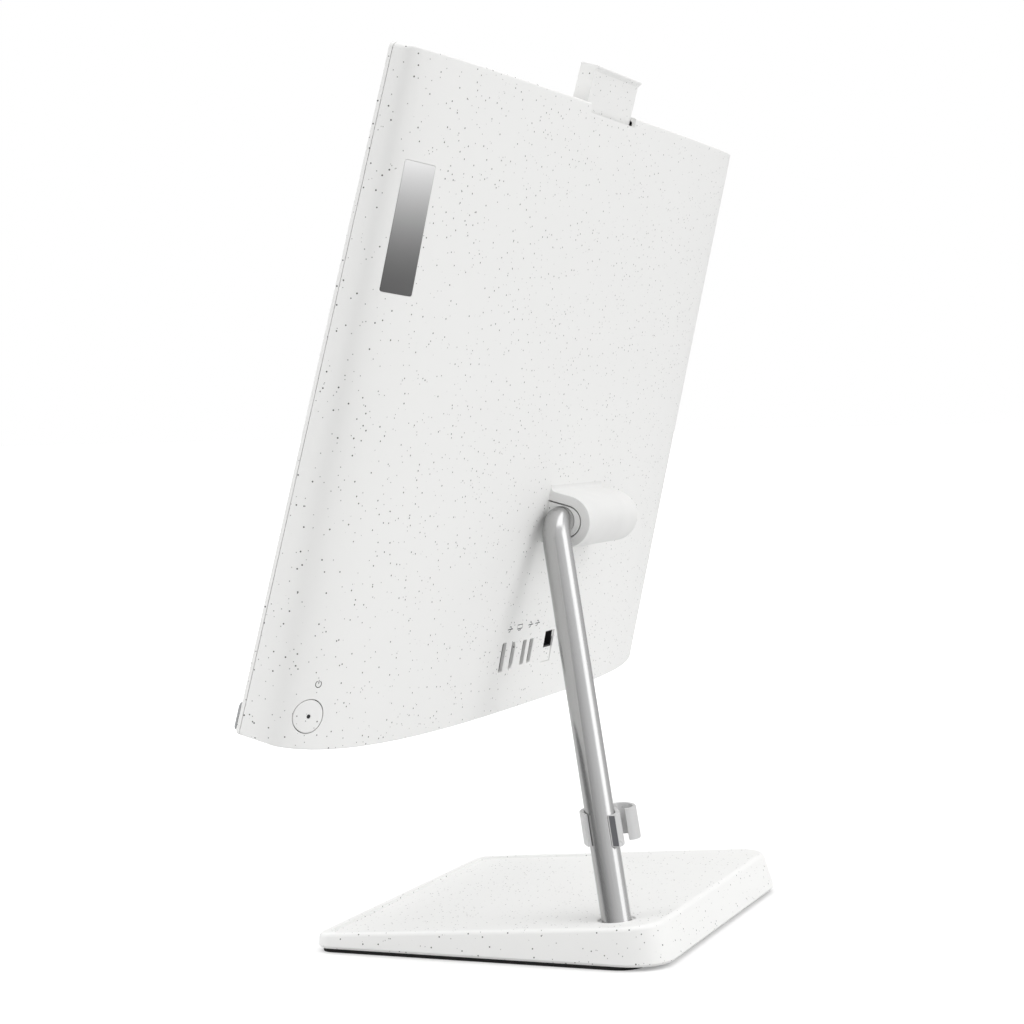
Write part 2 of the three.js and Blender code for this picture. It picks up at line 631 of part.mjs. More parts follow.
// The tube's centre line as one curve, from the hinge to the flange.
class TubeLine extends THREE.Curve {
  constructor() {
    super();
    const { start, end, centre } = tubeBend();
    this.from = start.clone().sub(centre);
    this.to = end.clone().sub(centre);
    this.centre = centre;
    this.sweep = this.from.angleTo(this.to);
    this.bendLength = this.sweep * BEND_RADIUS;
    this.legStart = end;
    this.legLength = (end.z - TUBE_END_HEIGHT) / -TUBE_DOWN.z;
  }

  getPoint(t) {
    const distance = t * (this.bendLength + this.legLength);
    if (distance > this.bendLength) {
      return this.legStart.clone().addScaledVector(TUBE_DOWN, distance - this.bendLength);
    }
    const angle = distance / BEND_RADIUS;
    const first = this.from.clone().multiplyScalar(Math.sin(this.sweep - angle));
    const last = this.to.clone().multiplyScalar(Math.sin(angle));
    return first.add(last).divideScalar(Math.sin(this.sweep)).add(this.centre);
  }
}

function addTube() {
  const ring = new THREE.Shape().absarc(0, 0, TUBE_RADIUS, 0, 2 * Math.PI);
  ring.holes.push(new THREE.Path().absarc(0, 0, TUBE_RADIUS - TUBE_WALL, 0, 2 * Math.PI));
  const geometry = new THREE.ExtrudeGeometry(ring, {
    steps: 44,
    extrudePath: new TubeLine(),
    curveSegments: 8,
  });
  add(computer, "stand_tube", solid(geometry), brushedSteel);
}

const FLANGE_CENTRE = TUBE_AT_BASE.clone().addScaledVector(TUBE_DOWN, 10);

function addFlange() {
  const [x, y] = [FLANGE_CENTRE.x, FLANGE_CENTRE.y];
  const socket = slantedRod(TUBE_RADIUS + GAP, TUBE_AT_BASE, TUBE_DOWN, [-20, 40]);
  const spots = [0, 1, 2].map((i) => {
    const angle = degToRad(90 + 120 * i);
    return [x + 14.5 * Math.cos(angle), y + 14.5 * Math.sin(angle)];
  });
  const holes = spots.map((spot) => rod("z", 2.3, [0, 30], spot, 12));
  const disc = rod("z", 19, [FLANGE_BOTTOM, FLANGE_TOP], [x, y], 32);
  add(computer, "tube_flange", cut(disc, socket, ...holes), darkSteel);
  spots.forEach(([sx, sy], i) => {
    const shank = rod("z", 2, [WEIGHT_BOTTOM + 1, FLANGE_TOP + 1], [sx, sy], 12);
    const head = rod("z", 3.2, [FLANGE_TOP + GAP, FLANGE_TOP + 2.2], [sx, sy], 16);
    add(computer, `flange_screw_${i + 1}`, join(shank, head), darkSteel);
  });
  const weight = extruded(roundedRectangle(208, 124, 6, 16), WEIGHT_TOP - WEIGHT_BOTTOM);
  const slab = solid(weight.translate(0, 32, WEIGHT_BOTTOM));
  add(computer, "base_weight", cut(slab, ...holes), darkSteel);
}

// The base's plan, drawn in by an inset.
function basePlan(inset) {
  return roundedRectangle(BASE_WIDTH - 2 * inset, BASE_DEPTH - 2 * inset, 9 - inset / 2, 24 - inset);
}

// Moves a geometry drawn on the level to the base's sloping top.
function onSlope(geometry) {
  const middle = (BASE_FRONT_HEIGHT + BASE_REAR_HEIGHT) / 2;
  return geometry.rotateX(BASE_SLOPE).translate(0, 0, middle);
}

// A wedge with walls that lean in a little towards the top. The rear wall leans more, and its lower
// edge reaches further back.
function wedge(inset, bottom, drop) {
  const geometry = extruded(basePlan(inset), 40).translate(0, 0, bottom);
  const place = geometry.attributes.position;
  for (let i = 0; i < place.count; i += 1) {
    const [x, y, z] = [place.getX(i), place.getY(i), place.getZ(i)];
    const height = z - SHELL_BOTTOM;
    const lean = 1 - height * BASE_LEAN;
    const rearShare = Math.max(y, 0) / (BASE_DEPTH / 2);
    place.setXY(i, x * lean, y * lean + rearShare * (REAR_REACH - REAR_LEAN * height));
  }
  const above = onSlope(new THREE.BoxGeometry(400, 400, 60).translate(0, 0, 30 - drop));
  return solid(geometry).subtract(solid(above));
}

function addBase() {
  const rim = 6.5;
  const trayDepth = 91;
  const tray = extruded(roundedRectangle(BASE_WIDTH - 2 * rim, trayDepth, 7, 1), 10);
  const trayCut = solid(onSlope(tray.translate(0, rim + (trayDepth - BASE_DEPTH) / 2, -1.6)));
  const tubeHole = slantedRod(TUBE_RADIUS + 0.5, TUBE_AT_BASE, TUBE_DOWN, [-20, 20]);
  const ring = new THREE.CylinderGeometry(10.4, 10.4, 10, 32).rotateX(Math.PI / 2);
  const ringCut = solid(onSlope(ring.translate(TUBE_AT_BASE.x, TUBE_AT_BASE.y, 4.2)));
  const shell = cut(
    wedge(0, SHELL_BOTTOM, 0),
    wedge(BASE_SIDE_WALL, SHELL_BOTTOM - 5, BASE_TOP_WALL),
    trayCut,
    tubeHole,
    ringCut,
  );
  add(computer, "base_shell", shell, whitePlastic);

  const plate = extruded(basePlan(BASE_SIDE_WALL + 1), PLATE_TOP - SHELL_BOTTOM);
  add(computer, "base_plate", solid(plate.translate(0, 0, SHELL_BOTTOM)), sheetSteel);

  const wholeFoot = solid(extruded(basePlan(2.5), FOOT_THICKNESS));
  const behind = block(around(0, BASE_WIDTH), [FOOT_REAR, BASE_DEPTH], [-1, FOOT_THICKNESS + 1]);
  add(computer, "rubber_foot", cut(wholeFoot, behind), rubber);
}

// A C cut from a ring. Its two arcs start at their own angles, in degrees, and end at the same angle.
function openRing(inner, outer, centre, [innerStart, outerStart], end) {
  const shape = new THREE.Shape();
  shape.absarc(centre, centre, outer, degToRad(outerStart), degToRad(end), false);
  shape.absarc(centre, centre, inner, degToRad(end), degToRad(innerStart), true);
  shape.closePath();
  return solid(extruded(shape, CLIP_HEIGHT, 10).translate(0, 0, -CLIP_HEIGHT / 2));
}

// The clip's own frame: Z up along the tube, X away from its hook and Y towards its mouth. The jaw
// beside the hook ends square to the mouth. The clip's ends are level across it and rise away from
// the mouth, so each point is moved along the tube on to them.
function addCableClip() {
  const up = TUBE_DOWN.clone().negate();
  const facing = new THREE.Vector3(1, 0.33, 0);
  const mouth = facing.clone().projectOnPlane(up).normalize();
  const side = new THREE.Vector3().crossVectors(mouth, up);

  const jawReach = 7.4;
  const jawAngle = (radius) => 180 - radToDeg(Math.asin(jawReach / radius));
  const grip = openRing(GRIP_INNER, GRIP_OUTER, 0, [GRIP_INNER, GRIP_OUTER].map(jawAngle), 398);
  const hook = openRing(HOOK_INNER, HOOK_OUTER, -HOOK_DISTANCE / Math.SQRT2, [98, 98], 420);
  const geometry = geometryOf(join(grip, hook));

  const endNormal = facing.multiplyScalar(CLIP_RISE).add(new THREE.Vector3(0, 0, 1)).normalize();
  const [across, away, along] = [side, mouth, up].map((axis) => axis.dot(endNormal));
  const place = geometry.attributes.position;
  for (let i = 0; i < place.count; i += 1) {
    const [x, y, z] = [place.getX(i), place.getY(i), place.getZ(i)];
    place.setZ(i, z - (x * across + y * away) / along);
  }

  const frame = new THREE.Matrix4().makeBasis(side, mouth, up);
  frame.setPosition(TUBE_AT_BASE.clone().addScaledVector(up, CLIP_ABOVE_BASE));
  add(computer, "cable_clip", solid(geometry.applyMatrix4(frame)), clipPlastic);
}

addBackCover();
addFront();
addChassis();
addFanHousing();
addFanRotor();
addHeatSink();
addHeatPipe();
addSystemBoard();
addSockets();
addDrive();
addSpeakersAndAntennas();
addWebcam();
addPowerButton();
addHinge();
addTube();
addFlange();
addBase();
addCableClip();

export default computer;
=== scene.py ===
import json
import math

import bmesh
import bpy
from mathutils import Matrix, Vector


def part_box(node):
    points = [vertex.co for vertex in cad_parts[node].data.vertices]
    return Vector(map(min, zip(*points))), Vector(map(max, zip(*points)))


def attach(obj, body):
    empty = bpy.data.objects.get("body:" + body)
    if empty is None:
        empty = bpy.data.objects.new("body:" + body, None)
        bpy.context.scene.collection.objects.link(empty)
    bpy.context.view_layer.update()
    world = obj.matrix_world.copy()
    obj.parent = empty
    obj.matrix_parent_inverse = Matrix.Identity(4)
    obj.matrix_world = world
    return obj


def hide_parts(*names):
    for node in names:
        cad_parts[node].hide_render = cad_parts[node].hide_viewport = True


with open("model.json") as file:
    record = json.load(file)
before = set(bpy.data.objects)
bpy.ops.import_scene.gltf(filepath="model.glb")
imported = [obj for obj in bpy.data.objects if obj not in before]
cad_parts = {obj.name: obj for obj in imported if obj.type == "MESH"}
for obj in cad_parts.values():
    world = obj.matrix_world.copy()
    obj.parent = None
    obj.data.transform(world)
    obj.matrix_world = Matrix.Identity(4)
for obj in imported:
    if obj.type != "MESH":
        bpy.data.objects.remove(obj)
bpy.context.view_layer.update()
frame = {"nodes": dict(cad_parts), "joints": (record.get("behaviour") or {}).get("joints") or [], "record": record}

# An all-in-one PC on a bent tube stand, dressed around its CAD model.
# Each piece is drawn in millimetres in a frame of its own and then placed in the row frame.

MM = 0.001
X, Y, Z = Vector((1, 0, 0)), Vector((0, 1, 0)), Vector((0, 0, 1))
JOINTS = {joint["name"]: joint for joint in frame["joints"]}
SLOTS = {slot["slot"]: slot for slot in frame["record"]["materials"]}


# ---- frames


def axes(x, y, z, origin):
    """The matrix that takes a frame in millimetres to the row frame in metres."""
    turn = Matrix((x, y, z)).transposed().to_4x4()
    return Matrix.Translation(origin) @ turn @ Matrix.Scale(MM, 4)


def points_of(node, place):
    """A CAD node's corners in a frame."""
    back = place.inverted()
    return [back @ vertex.co for vertex in frame["nodes"][node].data.vertices]


def limits(points):
    """The lowest and highest corner of the box round some points."""
    low = Vector([min(point[i] for point in points) for i in range(3)])
    high = Vector([max(point[i] for point in points) for i in range(3)])
    return low, high


def extent(node, place):
    return limits(points_of(node, place))


hinge = Vector(JOINTS["screen_tilt"]["pos_m"])
screen_up = Vector(JOINTS["webcam_slide"]["axis"]).normalized()
screen_back = screen_up.cross(X)
tilted = axes(X, screen_back, screen_up, hinge)
bezel_low, bezel_high = extent("front_bezel", tilted)
screen_middle = Vector((0, bezel_low.y, (bezel_low.z + bezel_high.z) / 2))

# The screen's frame: X across, Y back from its front face, Z up the screen, from its middle.
SCREEN = axes(X, screen_back, screen_up, tilted @ screen_middle)
ROW = axes(X, Y, Z, Vector((0, 0, 0)))

HINGE_DEPTH, HINGE_UP = (SCREEN.inverted() @ hinge).yz


# ---- meshes


def skin(bm, rings, closed=False):
    """Joins rings of points with faces. An open row of rings gets a cap at both ends."""
    rows = [[bm.verts.new(point) for point in ring] for ring in rings]
    pairs = list(zip(rows, rows[1:]))
    if closed:
        pairs.append((rows[-1], rows[0]))
    for first, second in pairs:
        for i in range(len(first)):
            bm.faces.new((first[i - 1], first[i], second[i], second[i - 1]))
    if not closed:
        bm.faces.new(rows[0])
        bm.faces.new(rows[-1])


def arc(centre, radius, start, end, steps):
    """Points on an arc, in degrees."""
    turns = [math.radians(start + (end - start) * i / steps) for i in range(steps + 1)]
    return [(centre[0] + radius * math.cos(a), centre[1] + radius * math.sin(a)) for a in turns]


def circle(radius, steps=48, centre=(0, 0)):
    return arc(centre, radius, 0, 360, steps)[:-1]


def rounded_rectangle(low, high, radii, steps=8):
    """An outline with its own radius at the lower left, lower right, upper right and upper left."""
    corners = [
        (low[0], low[1], 1, 1),
        (high[0], low[1], -1, 1),
        (high[0], high[1], -1, -1),
        (low[0], high[1], 1, -1),
    ]
    outline = []
    for turn, ((x, y, sx, sy), radius) in enumerate(zip(corners, radii)):
        centre = (x + sx * radius, y + sy * radius)
        outline += arc(centre, radius, 180 + 90 * turn, 270 + 90 * turn, steps)
    return outline


def face_outline(low, high, radius, steps=8):
    """The rounded outline of a box in the screen's frame, seen from the front."""
    return rounded_rectangle((low.x, low.z), (high.x, high.z), [radius] * 4, steps)


def inset(outline, distance):
    """An anticlockwise outline moved inwards."""
    moved = []
    for i, point in enumerate(outline):
        here = Vector(point)
        before = (here - Vector(outline[i - 1])).normalized()
        after = (Vector(outline[(i + 1) % len(outline)]) - here).normalized()
        first, second = Vector((-before.y, before.x)), Vector((-after.y, after.x))
        mitre = (first + second) / max(0.3, 1 + first.dot(second))
        moved.append(tuple(here + mitre * distance))
    return moved


def rounded_levels(low, high, low_radius, high_radius=None, steps=4):
    """Heights and insets of a body whose two end faces have rounded edges."""
    high_radius = low_radius if high_radius is None else high_radius
    turns = [math.pi / 2 * i / steps for i in range(steps + 1)]
    lower = [(low + low_radius * (1 - math.sin(a)), low_radius * (1 - math.cos(a))) for a in turns]
    upper = [(high - high_radius * (1 - math.sin(a)), high_radius * (1 - math.cos(a))) for a in turns]
    return lower[::-1] + upper


def pillow(bm, outline, levels, put):
    """Lofts an outline through levels of (height, inset). put turns (a, b, height) into a point."""
    skin(bm, [[put(a, b, height) for a, b in inset(outline, move)] for height, move in levels])


def facing_back(a, b, height):
    return Vector((a, height, b))


def facing_up(a, b, height):
    return Vector((a, b, height))


def facing_side(a, b, height):
    return Vector((height, a, b))


def box(bm, low, high, edge=0.0):
    """A block, with its edges rounded a little."""
    outline = rounded_rectangle(low[:2], high[:2], [max(edge, 0.01)] * 4, 3)
    pillow(bm, outline, rounded_levels(low[2], high[2], max(edge, 0.01), steps=3), facing_up)


def mesh_object(name, bm, place):
    """Turns a bmesh into an object in the row frame."""
    bmesh.ops.remove_doubles(bm, verts=bm.verts, dist=1e-4)
    bmesh.ops.recalc_face_normals(bm, faces=bm.faces)
    mesh = bpy.data.meshes.new(name)
    bm.to_mesh(mesh)
    bm.free()
    mesh.transform(place)
    thing = bpy.data.objects.new(name, mesh)
    bpy.context.scene.collection.objects.link(thing)
    return thing


def carve(thing, cutter, place, operation="DIFFERENCE"):
    """Cuts a bmesh out of an object, or joins it on."""
    tool = mesh_object("cutter", cutter, place)
    change = thing.modifiers.new("carve", "BOOLEAN")
    change.object = tool
    change.operation = operation
    change.solver = "EXACT"
    bpy.context.view_layer.update()
    ready = thing.evaluated_get(bpy.context.evaluated_depsgraph_get())
    carved = bpy.data.meshes.new_from_object(ready)
    thing.modifiers.clear()
    thing.data = carved
    bpy.data.objects.remove(tool)


def dress(thing, finish, body, slot, *nodes, sharp=32):
    """Shades a piece, gives it its finish and body, and hides the CAD nodes that it stands for."""
    thing.data.shade_smooth()
    thing.data.set_sharp_from_angle(angle=math.radians(sharp))
    weights = thing.modifiers.new("even_normals", "WEIGHTED_NORMAL")
    weights.keep_sharp = True
    thing.data.materials.clear()
    thing.data.materials.append(finish)
    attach(thing, body)
    if nodes:
        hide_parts(*nodes)
    return thing


# ---- materials


class Finish:
    """A material being built, with short ways to add and join its nodes."""

    def __init__(self, name, color, roughness, metallic=0.0):
        self.material = bpy.data.materials.new(name)
        self.material.use_nodes = True
        self.tree = self.material.node_tree
        self.shader = self.tree.nodes["Principled BSDF"]
        self.color = tuple(color[:3]) + (1.0,)
        self.set("Base Color", self.color)
        self.set("Roughness", roughness)
        self.set("Metallic", metallic)
        self.place = self.add("ShaderNodeTexCoord").outputs["Object"]

    def add(self, kind, **settings):
        node = self.tree.nodes.new(kind)
        for name, value in settings.items():
            setattr(node, name, value)
        return node

    def join(self, source, target):
        self.tree.links.new(source, target)

    def set(self, socket, value):
        self.shader.inputs[socket].default_value = value

    def noise(self, scale, detail=2.0, stretch=None):
        """Noise, with an optional stretch given as the scale along each axis."""
        texture = self.add("ShaderNodeTexNoise")
        texture.inputs["Scale"].default_value = scale
        texture.inputs["Detail"].default_value = detail
        place = self.place
        if stretch is not None:
            mapping = self.add("ShaderNodeMapping")
            mapping.inputs["Scale"].default_value = stretch
            self.join(place, mapping.inputs["Vector"])
            place = mapping.outputs["Vector"]
        self.join(place, texture.inputs["Vector"])
        return texture.outputs["Fac"]

    def shade(self, share):
        """The finish's own colour, darker or lighter."""
        return tuple(min(1.0, c * share) for c in self.color[:3]) + (1.0,)

    def ramp(self, value, low, high, start=0.0, end=1.0):
        """Maps a value from low..high to start..end."""
        node = self.add("ShaderNodeMapRange")
        for name, number in zip(("From Min", "From Max", "To Min", "To Max"), (low, high, start, end)):
            node.inputs[name].default_value = number
        self.join(value, node.inputs["Value"])
        return node.outputs["Result"]

    def mix(self, factor, first, second):
        """Mixes two colours, each a colour or an output."""
        node = self.add("ShaderNodeMix", data_type="RGBA")
        self.join(factor, node.inputs["Factor"])
        for socket, value in (("A", first), ("B", second)):
            target = [s for s in node.inputs if s.name == socket and s.type == "RGBA"][0]
            if isinstance(value, tuple):
                target.default_value = value
            else:
                self.join(value, target)
        return [s for s in node.outputs if s.type == "RGBA"][0]

    def roughen(self, texture, low, high):
        self.join(self.ramp(texture, 0.3, 0.7, low, high), self.shader.inputs["Roughness"])

    def bump(self, height, strength, distance):
        node = self.add("ShaderNodeBump")
        node.inputs["Strength"].default_value = strength
        node.inputs["Distance"].default_value = distance
        self.join(height, node.inputs["Height"])
        self.join(node.outputs["Normal"], self.shader.inputs["Normal"])

    def paint(self, color):
        self.join(color, self.shader.inputs["Base Color"])


def slot_color(slot):
    return SLOTS[slot]["base_color"]


def speckled_plastic():
    """White moulding with dark grains: balls scattered through space, seen where they meet the skin."""
    finish = Finish("speckled_white_plastic", slot_color("white_plastic"), 0.45)
    paint = finish.mix(finish.noise(9, 3), finish.color, finish.shade(0.985))
    for spacing, radius, tone in ((0.0043, 0.00042, 0.05), (0.0036, 0.0003, 0.3)):
        grains = finish.add("ShaderNodeTexVoronoi", feature="F1")
        grains.inputs["Scale"].default_value = 1 / spacing
        finish.join(finish.place, grains.inputs["Vector"])
        edge = radius / spacing
        amount = finish.ramp(grains.outputs["Distance"], edge * 1.25, edge * 0.75)
        paint = finish.mix(amount, paint, (tone, tone, tone * 0.98, 1.0))
    finish.paint(paint)
    finish.roughen(finish.noise(60, 3), 0.4, 0.5)
    finish.bump(finish.noise(2400, 2), 0.12, 0.00006)
    return finish.material


def plain_plastic(name, slot, roughness, grain=1800, shade=1.0):
    """A moulding in one colour with a fine grain and a little unevenness in its gloss. A shade below 1 darkens the
    whole colour, as painted shade.
    """
    finish = Finish(name, [c * shade for c in slot_color(slot)], roughness)
    finish.paint(finish.mix(finish.noise(40, 3), finish.color, finish.shade(0.9)))
    finish.roughen(finish.noise(90, 3), roughness * 0.88, roughness * 1.12)
    finish.bump(finish.noise(grain, 2), 0.2, 0.00008)
    return finish.material


def translucent_plastic():
    """The clip's pale see-through plastic."""
    finish = Finish("translucent_plastic", (0.66, 0.66, 0.66), 0.3)
    finish.paint(finish.mix(finish.noise(60, 2), finish.color, (0.62, 0.62, 0.62, 1.0)))
    finish.roughen(finish.noise(120, 3), 0.27, 0.34)
    finish.set("Transmission Weight", 0.12)
    finish.set("IOR", 1.46)
    return finish.material


def metal(name, slot, roughness, stretch=(1, 1, 1), scale=400, depth=0.00003):
    """Bare metal with fine lines along its longest stretch."""
    finish = Finish(name, slot_color(slot), roughness, 1.0)
    lines = finish.noise(scale, 4, stretch)
    finish.paint(finish.mix(finish.ramp(lines, 0.35, 0.65), finish.color, finish.shade(0.86)))
    finish.roughen(lines, roughness * 0.85, roughness * 1.2)
    finish.bump(lines, 0.15, depth)
    return finish.material


def brushed_tube(direction):
    """Satin steel, brushed along the tube."""
    finish = Finish("brushed_tube_steel", [c * 0.8 for c in slot_color("stand_steel")], 0.3, 1.0)
    along = finish.add("ShaderNodeMapping", vector_type="TEXTURE")
    along.inputs["Scale"].default_value = (1, 1, 120)
    along.inputs["Rotation"].default_value = Z.rotation_difference(direction).to_euler()
    finish.join(finish.place, along.inputs["Vector"])
    texture = finish.add("ShaderNodeTexNoise")
    texture.inputs["Scale"].default_value = 2600
    finish.join(along.outputs["Vector"], texture.inputs["Vector"])
    lines = texture.outputs["Fac"]
    finish.paint(finish.mix(finish.ramp(lines, 0.3, 0.7), finish.color, finish.shade(0.95)))
    finish.roughen(lines, 0.2, 0.26)
    return finish.material


def badge_foil_painted_reflection(low, high):
    """Brushed foil with a painted reflection that goes from dark at the bottom to light at the top."""
    finish = Finish("badge_foil_painted_reflection", slot_color("badge_metal"), 0.35, 0.3)
    split = finish.add("ShaderNodeSeparateXYZ")
    finish.join(finish.place, split.inputs["Vector"])
    rise = finish.ramp(split.outputs["Z"], low, high)
    painted_reflection_share = finish.add("ShaderNodeMath", operation="POWER")
    painted_reflection_share.inputs[1].default_value = 2.0
    finish.join(rise, painted_reflection_share.inputs[0])
    # Painted reflection: the foil is painted dark at the bottom and light at the top, rising with height.
    finish.paint(finish.mix(painted_reflection_share.outputs[0], (0.11, 0.11, 0.11, 1.0), (0.95, 0.95, 0.95, 1.0)))
    finish.roughen(finish.noise(700, 4, (1, 1, 0.02)), 0.32, 0.38)
    return finish.material


def woven_cloth():
    """Fine acoustic cloth: two crossed waves."""
    finish = Finish("acoustic_cloth", slot_color("speaker_cloth"), 0.95)
    waves = []
    for direction in ("X", "Z"):
        wave = finish.add("ShaderNodeTexWave", bands_direction=direction)
        wave.inputs["Scale"].default_value = 520
        wave.inputs["Distortion"].default_value = 0.6
        finish.join(finish.place, wave.inputs["Vector"])
        waves.append(wave.outputs["Fac"])
    weave = finish.add("ShaderNodeMath", operation="MULTIPLY")
    finish.join(waves[0], weave.inputs[0])
    finish.join(waves[1], weave.inputs[1])
    finish.paint(finish.mix(finish.ramp(weave.outputs[0], 0.0, 0.6), finish.shade(0.75), finish.color))
    finish.bump(weave.outputs[0], 0.6, 0.0002)
    finish.set("Sheen Weight", 0.2)
    return finish.material


def dark_screen():
    """The switched-off display: smooth black with a very fine unevenness."""
    finish = Finish("dark_screen", slot_color("screen_black"), 0.16)
    finish.paint(finish.mix(finish.noise(30, 2), finish.color, (0.009, 0.01, 0.012, 1.0)))
    finish.roughen(finish.noise(300, 3), 0.13, 0.2)
    finish.set("Coat Weight", 0.4)
    return finish.material


def circuit_green():
    """Solder mask with lighter tracks under it."""
    finish = Finish("circuit_board", slot_color("circuit_board"), 0.5)
    tracks = finish.add("ShaderNodeTexBrick")
    tracks.inputs["Scale"].default_value = 160
    finish.join(finish.place, tracks.inputs["Vector"])
    finish.paint(finish.mix(tracks.outputs["Fac"], finish.color, finish.shade(2.2)))
    finish.roughen(finish.noise(200, 2), 0.4, 0.55)
    return finish.material


# ---- camera, light and floor

CAMERA_SPOT = Vector((1.3276, 0.4911, 0.2952))
CAMERA_AZIMUTH = math.radians(111.22)
CAMERA_ELEVATION = math.radians(2.12)
CAMERA_ROLL = math.radians(-1.33)
CAMERA_LENS = 83.9


def add_camera():
    toward = Vector((math.sin(CAMERA_AZIMUTH), -math.cos(CAMERA_AZIMUTH), 0)) * math.cos(CAMERA_ELEVATION)
    toward.z = math.sin(CAMERA_ELEVATION)
    right = (-toward).cross(Z).normalized()
    up = toward.cross(right)
    turned = Matrix((right, up, toward)).transposed() @ Matrix.Rotation(CAMERA_ROLL, 3, "Z")
    data = bpy.data.cameras.new("camera")
    data.lens = CAMERA_LENS
    camera = bpy.data.objects.new("camera", data)
    camera.matrix_world = Matrix.Translation(CAMERA_SPOT) @ turned.to_4x4()
    bpy.context.scene.collection.objects.link(camera)
    bpy.context.scene.camera = camera


def add_light(name, spot, aim, size, power):
    data = bpy.data.lights.new(name, "AREA")
    data.shape = "RECTANGLE"
    data.size, data.size_y = size
    data.energy = power
    light = bpy.data.objects.new(name, data)
    light.location = spot
    light.rotation_euler = (Vector(aim) - Vector(spot)).to_track_quat("-Z", "Y").to_euler()
    bpy.context.scene.collection.objects.link(light)
    return light


def light_room(front, rear, above):
    """A white room that brightens from the screen's side to its back, and a little overhead."""
    world = bpy.data.worlds.new("studio")
    bpy.context.scene.world = world
    world.use_nodes = True
    tree = world.node_tree

    def ramp(value, low, high, start, end):
        node = tree.nodes.new("ShaderNodeMapRange")
        for name, number in zip(("From Min", "From Max", "To Min", "To Max"), (low, high, start, end)):
            if number is not None:
                node.inputs[name].default_value = number
        tree.links.new(value, node.inputs["Value"])
        return node

    direction = tree.nodes.new("ShaderNodeTexCoord")
    split = tree.nodes.new("ShaderNodeSeparateXYZ")
    tree.links.new(direction.outputs["Generated"], split.inputs["Vector"])
    back = ramp(split.outputs["Y"], -1, 1, front, rear)
    top = ramp(split.outputs["Z"], 0, 1, 0, above)
    level = tree.nodes.new("ShaderNodeMath")
    tree.links.new(back.outputs["Result"], level.inputs[0])
    tree.links.new(top.outputs["Result"], level.inputs[1])
    rays = tree.nodes.new("ShaderNodeLightPath")
    seen = ramp(rays.outputs["Is Camera Ray"], 0, 1, None, 1)
    tree.links.new(level.outputs["Value"], seen.inputs["To Min"])
    background = tree.nodes["Background"]
    background.inputs["Color"].default_value = (1, 1, 1, 1)
    tree.links.new(seen.outputs["Result"], background.inputs["Strength"])


def add_studio():
    light_room(0.14, 0.92, 0.34)
    middle = (0, 0, 0.25)
    add_light("key", (-0.3, 2.4, 1.5), middle, (1.7, 1.8), 11)
    edge = add_light("edge", (0.9, -1.3, 0.6), (0.27, -0.1, 0.35), (0.5, 0.5), 8)
    edge.visible_glossy = False
    add_light("overhead", (-0.3, 0.3, 2.4), middle, (2.0, 2.0), 17)
    add_light("front", (-0.6, -1.4, 1.6), (0, 0, 0), (1.4, 1.4), 9)
    view = bpy.context.scene.view_settings
    view.view_transform = "Standard"


def add_floor():
    """A round floor that runs to the horizon and meets the white background there."""
    bm = bmesh.new()
    rings = [circle(radius, 96) for radius in (100, 1000, 60000)]
    rows = [[bm.verts.new((x, y, 0)) for x, y in ring] for ring in rings]
    bm.faces.new(rows[0])
    for first, second in zip(rows, rows[1:]):
        for i in range(len(first)):
            bm.faces.new((first[i - 1], first[i], second[i], second[i - 1]))
    floor = mesh_object("floor", bm, ROW)
    finish = Finish("pale_floor", (0.72, 0.72, 0.72), 0.9)
    finish.paint(finish.mix(finish.noise(2, 2), finish.color, (0.7, 0.7, 0.7, 1.0)))
    distance = finish.add("ShaderNodeVectorMath", operation="LENGTH")
    finish.join(finish.place, distance.inputs[0])
    glow = finish.ramp(distance.outputs["Value"], 0.3, 1.6, 0.28, 0.75)
    seen = finish.add("ShaderNodeMath", operation="MULTIPLY")
    finish.join(glow, seen.inputs[0])
    finish.join(finish.add("ShaderNodeLightPath").outputs["Is Camera Ray"], seen.inputs[1])
    finish.set("Emission Color", (1, 1, 1, 1))
    finish.join(seen.outputs[0], finish.shader.inputs["Emission Strength"])
    floor.data.materials.append(finish.material)


# ---- the cover's shape

cover_low, cover_high = extent("back_cover", SCREEN)
HALF_WIDTH = cover_high.x
HALF_HEIGHT = cover_high.z
COVER_FRONT = cover_low.y
DEPTH_AT_BOTTOM = cover_high.y
DEPTH_AT_TOP = max(p.y for p in points_of("back_cover", SCREEN) if p.z > HALF_HEIGHT - 0.5)
EDGE_DEPTH = 5.0
CORNER = 3.5
WALL = 2.2
COVER_EDGE = 1.2


def cover_depth(x, up):
    """Depth of the cover's outside: a dome that is blunt across and thins evenly towards the top."""
    rise = min(max(up / (2 * HALF_HEIGHT) + 0.5, 0), 1)
    middle = DEPTH_AT_BOTTOM + (DEPTH_AT_TOP - DEPTH_AT_BOTTOM) * rise
    power = 3.1 - 0.3 * rise
    across = min(abs(x) / HALF_WIDTH, 1)
    return EDGE_DEPTH + (middle - EDGE_DEPTH) * (1 - across**power) ** (1 / power)


def on_cover(a, b, height):
    """A point at a height over the cover's outside."""
    return Vector((a, cover_depth(a, b) + height, b))


def cover_column(x, half_width, half_height, corner, wall):
    """One upright cut through the cover, from the front at the bottom to the front at the top."""
    past = max(0, abs(x) - (half_width - corner))
    reach = half_height - corner + math.sqrt(max(0, corner**2 - past**2))
    outside = x * HALF_WIDTH / half_width

    def depth(up):
        return max(COVER_FRONT + 0.6, cover_depth(outside, up) - wall)

    edge = min(COVER_EDGE, (depth(0) - COVER_FRONT) / 2)
    lower = arc((depth(-reach) - edge, edge - reach), edge, -90, 0, 4)
    upper = arc((depth(reach) - edge, reach - edge), edge, 90, 0, 4)
    rows = 28
    span = 2 * (reach - edge)
    middle = [-reach + edge + span * (i + 1) / rows for i in range(rows - 1)]
    between = [(depth(up), up) for up in middle]
    profile = [(COVER_FRONT, -reach)] + lower + between + upper[::-1] + [(COVER_FRONT, reach)]
    return [Vector((x, y, z)) for y, z in profile]


